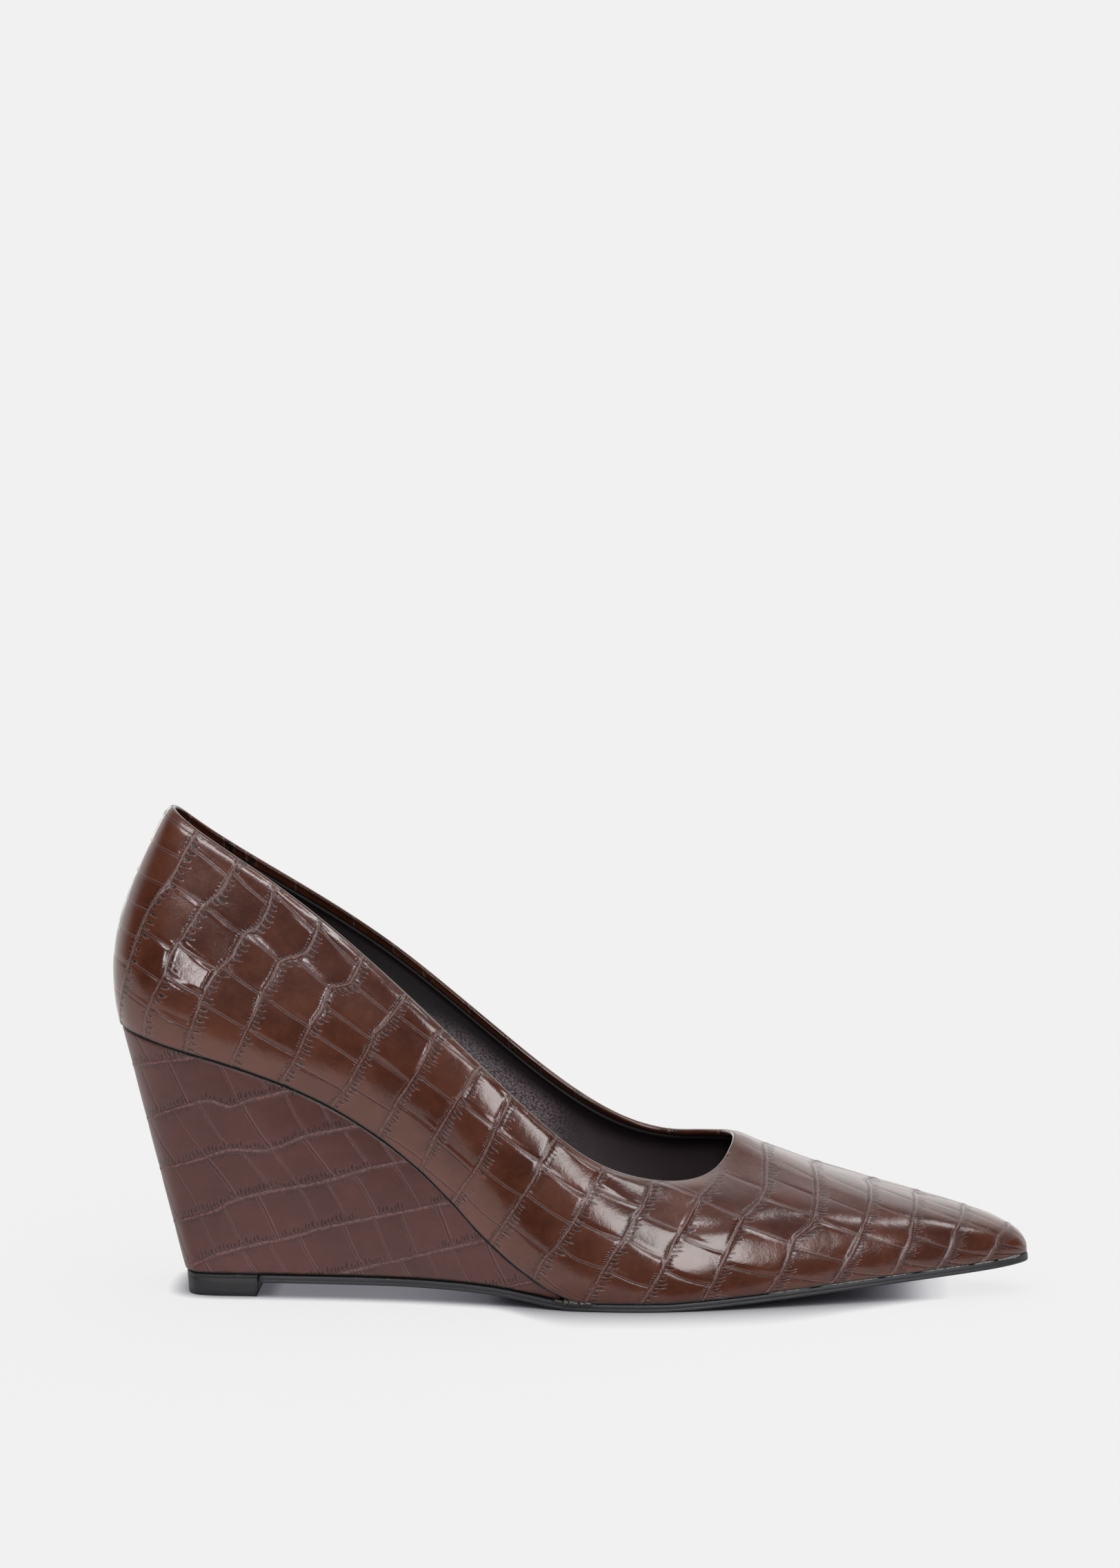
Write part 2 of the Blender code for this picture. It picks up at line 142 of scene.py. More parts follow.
# Cords of the vamp: x (mm) at these shares of the way over it, from the lateral edge to the middle.
VAMP_AT = (0.0, 0.06, 0.12, 0.18, 0.24, 0.30, 0.36, 0.43, 0.50)
VAMP_FIRST = 12
VAMP_CORDS = (
    (129.0, 131.0, 133.5, 137.5, 140.5, 144.5, 147.5, 149.5, 150.0),
    (143.0, 146.0, 149.0, 151.0, 155.0, 158.0, 161.5, 162.5, 162.0),
    (159.0, 161.5, 164.0, 166.5, 169.0, 173.5, 175.0, 175.0, 174.0),
    (175.5, 178.5, 181.0, 182.5, 187.5, 188.5, 188.5, 188.0, 187.0),
    (192.5, 195.0, 197.5, 199.5, 201.0, 202.0, 202.5, 202.5, 201.5),
    (208.0, 210.0, 211.5, 213.0, 213.5, 214.0, 214.5, 214.5, 214.0),
    (220.5, 222.0, 223.5, 224.5, 225.0, 226.0, 226.5, 227.0, 227.0),
    (232.5, 234.0, 235.0, 236.0, 236.5, 237.5, 238.5, 239.0, 239.0),
    (250.0, 250.5, 251.0, 251.5, 252.0, 252.0, 252.5, 252.5, 252.5),
)
# Cross grooves: share of the wall height, per belt from the heel. Past 1 they run on over the vamp.
ROW_CHART = (
    (0.16, 0.31, 0.45, 0.58, 0.71, 0.85, 0.97),
    (0.17, 0.32, 0.48, 0.72, 0.90),
    (0.15, 0.33, 0.48, 0.69, 0.90),
    (0.26, 0.46, 0.67, 0.93),
    (0.22, 0.42, 0.70, 0.93),
    (0.15, 0.38, 0.57, 0.80),
    (0.22, 0.49, 0.85),
    (0.07, 0.34, 0.61, 0.93),
    (0.33, 0.70),
    (0.18, 0.46, 0.73),
    (0.26, 0.51, 0.72, 0.94),
    (0.30, 0.51, 0.77),
    (0.20, 0.43, 0.64, 0.90),
    (0.22, 0.49, 0.76, 1.03),
    (0.25, 0.56, 0.81, 1.00, 1.20),
    (0.36, 0.63, 0.88, 1.16),
    (0.10, 0.49, 0.88, 1.22),
    (0.14, 0.50, 1.00, 1.24),
    (0.33, 0.86, 1.18),
    (0.45, 1.00),
)
# How far each belt's grooves fall from its heel side to its toe side, as a share of the height.
ROW_FALL = (
    0.0, 0.03, 0.04, 0.05, 0.04, 0.0, -0.03, -0.05, -0.05, -0.04, 0.0, 0.08, 0.12, 0.14, 0.15, 0.17, 0.16, 0.18, 0.20, 0.20,
)
# Scales that lie at their own angle: belt, row counted up from the lasted edge, tilt to the toe, tilt up (degrees).
FACETS = (
    (2, 2, -6.0, -2.0), (1, 2, -3.0, -3.0), (1, 3, 0.0, 3.0), (1, 1, 0.0, -3.0), (3, 2, 2.0, -1.0), (2, 3, 2.5, 3.0), (2, 1, 2.0, -3.0),
    (3, 3, 1.0, 1.0), (4, 2, 1.5, -1.0), (4, 3, 1.0, 1.0), (5, 2, 1.5, -1.0), (5, 3, 1.0, 1.5), (5, 4, 1.0, 1.0), (6, 2, 1.5, 2.0),
    (6, 3, 1.0, 2.0), (7, 2, 2.5, 0.5), (7, 1, 0.0, -2.0),
    (8, 2, 5.0, 1.0), (8, 1, 0.0, -2.5), (9, 3, -2.5, -1.5), (9, 2, -2.0, -1.2), (10, 2, -2.0, -1.2), (10, 3, -2.5, -1.0),
    (10, 4, 2.0, 1.0), (11, 1, -2.0, -2.5), (11, 2, 1.0, 2.0), (11, 3, 2.5, 1.0), (12, 1, -2.0, -2.5), (12, 2, 1.0, -3.0),
    (12, 3, 1.0, -2.0), (13, 1, 0.5, 4.5), (13, 2, -2.0, -2.5), (14, 1, -1.0, 3.0), (14, 2, 2.5, -2.5), (15, 1, 2.0, -3.0),
)

# Scales that lie flat on the round of the heel: belt, row, radius taken out round the shoe and up the wall (mm).
FLATTENED = ((2, 2, 46.0, 66.0),)


def monotone(table, column, x):
    rows = np.array(table, float)
    xs, ys, x = rows[:, 0], rows[:, column], np.asarray(x, float)
    h = np.diff(xs)
    s = np.diff(ys) / h
    d = np.zeros(len(xs))
    for k in range(1, len(xs) - 1):
        if s[k - 1] * s[k] > 0:
            a, b = 2 * h[k] + h[k - 1], h[k] + 2 * h[k - 1]
            d[k] = (a + b) / (a / s[k - 1] + b / s[k])
    d[0], d[-1] = s[0], s[-1]
    i = np.clip(np.searchsorted(xs, x) - 1, 0, len(h) - 1)
    t = (x - xs[i]) / h[i]
    return (
        ys[i] * (1 + 2 * t) * (1 - t) ** 2
        + h[i] * d[i] * t * (1 - t) ** 2
        + ys[i + 1] * t * t * (3 - 2 * t)
        + h[i] * d[i + 1] * t * t * (t - 1)
    )


def sole_height(x):
    return monotone(SOLE_LINE, 1, x)


def outsole_height(x):
    return monotone(OUTSOLE_LINE, 1, x)


def closed_spline(knots, values, at):
    n = len(values)
    h = np.diff(knots)
    before, after = np.roll(np.arange(n), 1), np.roll(np.arange(n), -1)
    system, right = np.zeros((n, n)), np.zeros_like(values)
    for i in range(n):
        back, on = h[before[i]], h[i]
        system[i, before[i]] += back
        system[i, i] += 2 * (back + on)
        system[i, after[i]] += on
        right[i] = 6 * ((values[after[i]] - values[i]) / on - (values[i] - values[before[i]]) / back)
    bend = np.linalg.solve(system, right)
    at = np.mod(at, knots[-1])
    i = np.clip(np.searchsorted(knots, at, side="right") - 1, 0, n - 1)
    j = after[i]
    width = h[i][:, None]
    a = (knots[i + 1] - at)[:, None] / width
    b = 1 - a
    return a * values[i] + b * values[j] + ((a**3 - a) * bend[i] + (b**3 - b) * bend[j]) * width**2 / 6


STATION_VALUES = np.array(STATIONS, float)


def station_knots():
    feather = np.c_[STATION_VALUES[:, :2], sole_height(STATION_VALUES[:, 0])]
    collar = STATION_VALUES[:, 2:5]
    steps = [np.linalg.norm(np.roll(p, -1, 0) - p, axis=1) for p in (feather, collar)]
    return np.r_[0.0, np.cumsum(0.5 * (steps[0] + steps[1]))]


KNOTS = station_knots()
RING = KNOTS[-1]
TIP = KNOTS[16]


def outward(step):
    normal = np.c_[step[:, 1], -step[:, 0]]
    return np.c_[normal / np.linalg.norm(normal, axis=1)[:, None], np.zeros(len(normal))]


def ring(at):
    at = np.asarray(at, float)
    row = closed_spline(KNOTS, STATION_VALUES, at)
    step = closed_spline(KNOTS, STATION_VALUES, at + 0.05) - closed_spline(KNOTS, STATION_VALUES, at - 0.05)
    feather = np.c_[row[:, :2], sole_height(row[:, 0])]
    return feather, row[:, 2:5], outward(step[:, :2]), outward(step[:, 2:4]), row[:, 5:9]


def wall_points(at, v):
    """Outer face of the upper, one column of points per ring position; v is shared, or one row per column."""
    feather, collar, out_low, out_high, shape = ring(at)
    up = np.array((0.0, 0.0, 1.0))
    flare, lean = np.radians(shape[:, 0:1]), np.radians(shape[:, 2:3])
    low = feather + shape[:, 1:2] * (np.sin(flare) * out_low + np.cos(flare) * up)
    high = collar + shape[:, 3:4] * (np.sin(lean) * out_high - np.cos(lean) * up)
    v = np.broadcast_to(np.atleast_2d(v), (len(feather), np.atleast_2d(v).shape[1]))[:, :, None]
    a, b, c, d = (p[:, None, :] for p in (feather, low, high, collar))
    return (1 - v) ** 3 * a + 3 * (1 - v) ** 2 * v * b + 3 * (1 - v) * v**2 * c + v**3 * d


def wall_normals(at, v):
    """Outward unit normals of the same face."""
    e = 0.02
    across = wall_points(at + e, v) - wall_points(at - e, v)
    up = wall_points(at, np.minimum(np.atleast_2d(v) + 1e-3, 1.0)) - wall_points(at, np.maximum(np.atleast_2d(v) - 1e-3, 0.0))
    n = np.cross(across, up)
    return n / np.linalg.norm(n, axis=2)[..., None]


def lasted_outline(offset, count):
    feather, _, out_low, _, _ = ring(np.linspace(0.0, RING, count, endpoint=False))
    plan = feather[:, :2] + offset * out_low[:, :2]
    plan = np.roll(plan, -int(np.argmin(plan[:, 0])), axis=0)
    tip = int(np.argmax(plan[:, 0]))
    return plan[: tip + 1], np.r_[plan[tip:], plan[:1]][::-1]


def sides(offset, x):
    lateral, medial = lasted_outline(offset, 1600)
    return np.interp(x, lateral[:, 0], lateral[:, 1]), np.interp(x, medial[:, 0], medial[:, 1])


def smooth(a, b, x):
    u = np.clip((np.asarray(x, float) - a) / (b - a), 0.0, 1.0)
    return u * u * (3 - 2 * u)


def jitter(a, b, seed=0.0):
    """Repeatable scatter in -1..1 from two whole numbers."""
    value = np.sin(12.9898 * np.asarray(a, float) + 78.233 * np.asarray(b, float) + 37.719 * seed) * 43758.5453
    return 2.0 * (value - np.floor(value)) - 1.0


# ---------------------------------------------------------------------------
# Chart of the upper: belt, row and distances in mm at every point.
# ---------------------------------------------------------------------------
EDGE_X = np.linspace(3.3, 244.0, 1400)
EDGE_LAT, EDGE_MED = sides(0.0, EDGE_X)


def over_share(points):
    """0 at the lateral lasted edge, 0.5 on the middle line, 1 at the medial lasted edge."""
    x, y, z = points[..., 0], points[..., 1], points[..., 2]
    rise = z - sole_height(x)
    lat = rise + 0.8 * (y - np.interp(x, EDGE_X, EDGE_LAT))
    med = rise + 0.8 * (np.interp(x, EDGE_X, EDGE_MED) - y)
    return np.clip(lat / np.maximum(lat + med, 1e-6), 0.0, 1.0)


def columns_at(table, levels, level):
    """Each cord's place at the given levels, as one array per cord."""
    out = []
    for row in table:
        out.append(monotone(np.c_[levels, row], 1, level))
    return np.array(out)


def count_between(places, value, first):
    """Cord number at a value between ascending cord places."""
    cords = len(places)
    number = np.full(value.shape, float(first))
    number += np.minimum(0.0, (value - places[0]) / (places[1] - places[0]))
    for k in range(cords - 1):
        number += np.clip((value - places[k]) / np.maximum(places[k + 1] - places[k], 0.5), 0.0, 1.0)
    return number


def chart_upper(points, at, v):
    """Belt number and height share for points of the wall."""
    at = np.mod(at, RING)[:, None] * np.ones_like(v)
    medial = at > TIP
    along = np.where(medial, RING - at, at)
    share = over_share(points)
    half = np.minimum(share, 1.0 - share)
    # quarter
    height = np.clip(v, 0.0, 1.0)
    places = columns_at(QUARTER_CORDS, QUARTER_AT, height)
    other = np.array([2.6 * math.sin(1.7 * k + 0.6) for k in range(len(QUARTER_CORDS))])[:, None, None]
    places = places + np.where(medial[None], other, 0.0) * smooth(5.0, 25.0, along)[None]
    quarter = count_between(places, along, 1)
    back = 1.0 - (places[0] - along) / (places[0] + 6.0)
    quarter = np.where(along < places[0], back, quarter)
    # vamp
    places = columns_at(VAMP_CORDS, VAMP_AT, half)
    shift = np.array([4.5 + 1.6 * math.sin(2.1 * k) for k in range(len(VAMP_CORDS))])[:, None, None]
    places = places + np.where(medial[None], shift * smooth(0.5, 0.12, half)[None], 0.0)
    vamp = count_between(places, points[..., 0], VAMP_FIRST)
    mix = smooth(166.0, 190.0, along)
    belt = quarter + mix * (vamp - quarter)
    level = height + smooth(160.0, 190.0, along) * (half / 0.36 - height)
    return belt, level, along, medial


def row_number(belt, level, medial):
    """Row number along a belt, whole on each cross groove, and its slope against the level."""
    index = np.clip(np.floor(belt).astype(int), 0, len(ROW_CHART) - 1)
    inside = np.clip(belt - index, 0.0, 1.0)
    level = level + np.array(ROW_FALL)[index] * (inside - 0.5) + (0.004 + 0.008 * jitter(index, index, 4.0)) * 4 * inside * (1 - inside)
    number, slope = np.zeros_like(level), np.ones_like(level)
    for k in range(len(ROW_CHART)):
        for side in (False, True):
            here = (index == k) & (medial == side)
            if not here.any():
                continue
            base = np.array(ROW_CHART[k])
            if side:
                fade = np.clip((1.25 - base) / 0.5, 0.0, 1.0)
                base = base + 0.05 * fade * jitter(np.full(len(base), k), np.arange(len(base)), 2.0)
            knots = np.r_[base[0] - 0.25 * np.arange(5, 0, -1), base, base[-1] + 0.30 * np.arange(1, 7)]
            values = np.arange(len(knots)) - 4.0
            number[here] = np.interp(level[here], knots, values)
            slope[here] = (1.0 / np.diff(knots))[np.clip(np.searchsorted(knots, level[here]) - 1, 0, len(knots) - 2)]
    return number, slope


def scale_tilt(belt, belt_mm, row, row_mm, medial):
    """Height of scales that lie at their own angle, fading out towards their edges."""
    column, line = np.floor(belt), np.floor(row)
    inside, upward = belt - column - 0.5, row - line - 0.5
    toe, up = 0.9 * jitter(column, line, 5.0 + medial), 0.9 * jitter(column, line, 9.0 + medial)
    for k, j, a, b in FACETS:
        here = (column == k) & (line == j) & ~medial
        toe, up = np.where(here, a, toe), np.where(here, b, up)
    window = smooth(0.1, 1.5, (0.5 - np.abs(inside)) * belt_mm) * smooth(0.1, 1.5, (0.5 - np.abs(upward)) * row_mm)
    height = -np.tan(np.radians(toe)) * inside * belt_mm - np.tan(np.radians(up)) * upward * np.minimum(row_mm, 18.0)
    for k, j, radius, tall in FLATTENED:
        here = (column == k) & (line == j) & ~medial
        height = height + np.where(here, (inside * belt_mm) ** 2 / (2 * radius) + (upward * row_mm) ** 2 / (2 * tall), 0.0)
    return height * window


def gradient_mm(points, field):
    """Size of a field's surface gradient per mm on a grid of points."""
    pu, pv = np.gradient(points, axis=0), np.gradient(points, axis=1)
    fu, fv = np.gradient(field, axis=0), np.gradient(field, axis=1)
    e, f, g = (pu * pu).sum(2), (pu * pv).sum(2), (pv * pv).sum(2)
    det = np.maximum(e * g - f * f, 1e-12)
    size = (g * fu * fu - 2 * f * fu * fv + e * fv * fv) / det
    return np.sqrt(np.maximum(size, 1e-12))


def scale_relief(belt, belt_mm, row, row_mm):
    """Height of the embossing in mm: cords, the valleys beside them, domed scales and cross grooves."""
    cord = np.round(belt)
    off = (belt - cord) * belt_mm
    cross = (row - np.round(row)) * row_mm
    inside = belt - np.floor(belt)
    dome = 1.0 - np.abs(2 * inside - 1) ** 3
    rows = row - np.floor(row)
    dome = dome * (1.0 - 0.5 * np.abs(2 * rows - 1) ** 4)
    height = 0.13 * dome
    height += 0.19 * np.exp(-((off / 0.40) ** 2))
    away = 1.0 - np.exp(-((off / 0.8) ** 2))
    height -= 0.06 * np.exp(-((cross / 0.40) ** 2)) * away
    return height


# ---------------------------------------------------------------------------
# Meshes
# ---------------------------------------------------------------------------
LIFT_LOW, LIFT_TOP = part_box("top_lift")
SHIFT = np.array((LIFT_FRONT_X - LIFT_TOP.x / MM, -0.5 * (LIFT_LOW.y + LIFT_TOP.y) / MM, 0.0))


def to_row(points):
    return (np.asarray(points, float) - SHIFT) * MM


def make_object(name, points, faces, material, fields=None, normals=None, uv=None, flat=None):
    """One mesh piece from points in mm and faces; fields are values per point, uv per face corner."""
    mesh = bpy.data.meshes.new(name)
    mesh.from_pydata(to_row(points).tolist(), [], faces)
    mesh.polygons.foreach_set("use_smooth", np.ones(len(mesh.polygons), bool))
    if flat is not None:
        shade = np.ones(len(mesh.polygons), bool)
        shade[flat] = False
        mesh.polygons.foreach_set("use_smooth", shade)
    for key, values in (fields or {}).items():
        layer = mesh.attributes.new(key, "FLOAT", "POINT")
        layer.data.foreach_set("value", np.asarray(values, np.float32).ravel())
    if uv is not None:
        layer = mesh.uv_layers.new(name="OFBake")
        layer.data.foreach_set("uv", np.asarray(uv, np.float32).ravel())
    mesh.update()
    mesh.validate(clean_customdata=False)
    if normals is not None:
        mesh.normals_split_custom_set_from_vertices(np.asarray(normals, float).tolist())
    mesh.materials.append(material)
    item = bpy.data.objects.new(name, mesh)
    bpy.context.scene.collection.objects.link(item)
    return item


def place(item, node=None):
    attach(item, "root")
    if node:
        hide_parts(node)
    return item


def grid_faces(count_u, count_v, wrap_u, wrap_v):
    iu = np.arange(count_u if wrap_u else count_u - 1)
    iv = np.arange(count_v if wrap_v else count_v - 1)
    a, b = np.meshgrid(iu, iv, indexing="ij")
    a, b = a.ravel(), b.ravel()
    c, d = (a + 1) % count_u, (b + 1) % count_v
    faces = np.stack([a * count_v + b, c * count_v + b, c * count_v + d, a * count_v + d], 1)
    return faces, a, b


def strip_uv(a, b, count_u, count_v_edges, v_at, strips, u_at):
    """Map of a long grid cut into stacked strips. u_at and v_at give the place of each grid line."""
    cut = np.linspace(0, count_u, strips + 1).astype(int)
    which = np.clip(np.searchsorted(cut, a, side="right") - 1, 0, strips - 1)
    start, end = u_at[cut[which]], u_at[cut[which + 1]]
    widest = max(u_at[cut[k + 1]] - u_at[cut[k]] for k in range(strips))
    corner_u = np.stack([a, a + 1, a + 1, a], 1)
    corner_v = np.stack([b, b, b + 1, b + 1], 1)
    u = 0.01 + 0.98 * (u_at[corner_u] - start[:, None]) / widest
    v = (which[:, None] + 0.02 + 0.96 * v_at[corner_v] / v_at[-1]) / strips
    return np.stack([u, v], 2)


def outward_faces(points, faces):
    """Tells whether the faces of a closed shape look outwards."""
    volume = 0.0
    p = np.asarray(points)
    for f in faces:
        for k in range(1, len(f) - 1):
            volume += np.dot(p[f[0]], np.cross(p[f[k]], p[f[k + 1]]))
    return volume > 0


def vertex_normals(grid, wrap_v):
    """Normals of a grid of points from its neighbours; the first and last columns are spare."""
    du = grid[2:] - grid[:-2]
    if wrap_v:
        dv = np.roll(grid, -1, 1) - np.roll(grid, 1, 1)
    else:
        dv = np.gradient(grid, axis=1)
    n = np.cross(du, dv[1:-1])
    return n / np.maximum(np.linalg.norm(n, axis=2)[..., None], 1e-9)


# ---------------------------------------------------------------------------
# Node helper: sums of nodes written as plain arithmetic.
# ---------------------------------------------------------------------------
class Val:
    def __init__(self, tree, socket):
        self.tree, self.socket = tree, socket

    def math(self, operation, *others, clamp=False):
        node = self.tree.nodes.new("ShaderNodeMath")
        node.operation, node.use_clamp = operation, clamp
        for k, item in enumerate((self, *others)):
            if isinstance(item, Val):
                self.tree.links.new(item.socket, node.inputs[k])
            else:
                node.inputs[k].default_value = float(item)
        return Val(self.tree, node.outputs[0])

    def __add__(self, o): return self.math("ADD", o)
    __radd__ = __add__
    def __sub__(self, o): return self.math("SUBTRACT", o)
    def __rsub__(self, o): return self.math("MULTIPLY", -1.0).math("ADD", o)
    def __mul__(self, o): return self.math("MULTIPLY", o)
    __rmul__ = __mul__
    def __truediv__(self, o): return self.math("DIVIDE", o)
    def __neg__(self): return self.math("MULTIPLY", -1.0)
    def abs(self): return self.math("ABSOLUTE")
    def floor(self): return self.math("FLOOR")
    def round(self): return self.math("ROUND")
    def fract(self): return self.math("FRACT")
    def sin(self): return self.math("SINE")
    def maximum(self, o): return self.math("MAXIMUM", o)
    def minimum(self, o): return self.math("MINIMUM", o)
    def power(self, o): return self.math("POWER", o)
    def clamp(self): return self.math("ADD", 0.0, clamp=True)

    def step(self, low, high, kind="SMOOTHSTEP", out=(0.0, 1.0)):
        """Rises from out[0] to out[1] as the value goes from low to high."""
        node = self.tree.nodes.new("ShaderNodeMapRange")
        node.interpolation_type = kind
        self.tree.links.new(self.socket, node.inputs["Value"])
        for key, item in (("From Min", low), ("From Max", high), ("To Min", out[0]), ("To Max", out[1])):
            if isinstance(item, Val):
                self.tree.links.new(item.socket, node.inputs[key])
            else:
                node.inputs[key].default_value = float(item)
        return Val(self.tree, node.outputs["Result"])


class Paint:
    """One procedural material."""

    def __init__(self, name):
        self.material = bpy.data.materials.new(name)
        self.material.use_nodes = True
        self.tree = self.material.node_tree
        self.shader = self.tree.nodes["Principled BSDF"]
        self.place = self.tree.nodes.new("ShaderNodeTexCoord").outputs["Object"]

    def field(self, name):
        node = self.tree.nodes.new("ShaderNodeAttribute")
        node.attribute_name = name
        return Val(self.tree, node.outputs["Fac"])

    def join(self, x, y, z=0.0):
        node = self.tree.nodes.new("ShaderNodeCombineXYZ")
        for k, item in enumerate((x, y, z)):
            if isinstance(item, Val):
                self.tree.links.new(item.socket, node.inputs[k])
            else:
                node.inputs[k].default_value = float(item)
        return node.outputs[0]

    def stretch(self, factors, vector=None):
        node = self.tree.nodes.new("ShaderNodeMapping")
        node.inputs["Scale"].default_value = factors
        self.tree.links.new(vector or self.place, node.inputs["Vector"])
        return node.outputs[0]

    def noise(self, per_mm, detail=2.0, rough=0.5, vector=None, distortion=0.0, plain=False):
        """Soft noise in 0..1; per_mm is lumps per millimetre in space, or per unit with plain."""
        node = self.tree.nodes.new("ShaderNodeTexNoise")
        node.inputs["Scale"].default_value = per_mm if plain else per_mm / MM
        node.inputs["Detail"].default_value = detail
        node.inputs["Roughness"].default_value = rough
        node.inputs["Distortion"].default_value = distortion
        self.tree.links.new(vector or self.place, node.inputs["Vector"])
        return Val(self.tree, node.outputs["Fac"])

    def cells(self, per_mm, feature="F1", vector=None, randomness=1.0, output="Distance", plain=False):
        node = self.tree.nodes.new("ShaderNodeTexVoronoi")
        node.feature = feature
        node.inputs["Scale"].default_value = per_mm if plain else per_mm / MM
        node.inputs["Randomness"].default_value = randomness
        self.tree.links.new(vector or self.place, node.inputs["Vector"])
        return Val(self.tree, node.outputs[output])

    def mix(self, share, first, second):
        """Colour between two; each is a colour or a socket."""
        node = self.tree.nodes.new("ShaderNodeMix")
        node.data_type = "RGBA"
        self.tree.links.new(share.socket, node.inputs["Factor"])
        for key, item in ((6, first), (7, second)):
            if isinstance(item, tuple):
                node.inputs[key].default_value = (*item, 1.0)
            else:
                self.tree.links.new(item, node.inputs[key])
        return node.outputs[2]

    def shade(self, colour, value):
        """Colour times a value."""
        node = self.tree.nodes.new("ShaderNodeMix")
        node.data_type, node.blend_type = "RGBA", "MULTIPLY"
        node.inputs["Factor"].default_value = 1.0
        self.tree.links.new(colour, node.inputs[6])
        grey = self.join(value, value, value)
        self.tree.links.new(grey, node.inputs[7])
        return node.outputs[2]

    def set(self, **values):
        for key, item in values.items():
            socket = self.shader.inputs[key.replace("_", " ")]
            if isinstance(item, Val):
                self.tree.links.new(item.socket, socket)
            elif isinstance(item, bpy.types.NodeSocket):
                self.tree.links.new(item, socket)
            else:
                socket.default_value = item

    def bump(self, height_mm, strength=1.0):
        node = self.tree.nodes.new("ShaderNodeBump")
        node.inputs["Strength"].default_value = strength
        node.inputs["Distance"].default_value = MM
        self.tree.links.new(height_mm.socket, node.inputs["Height"])
        self.tree.links.new(node.outputs[0], self.shader.inputs["Normal"])


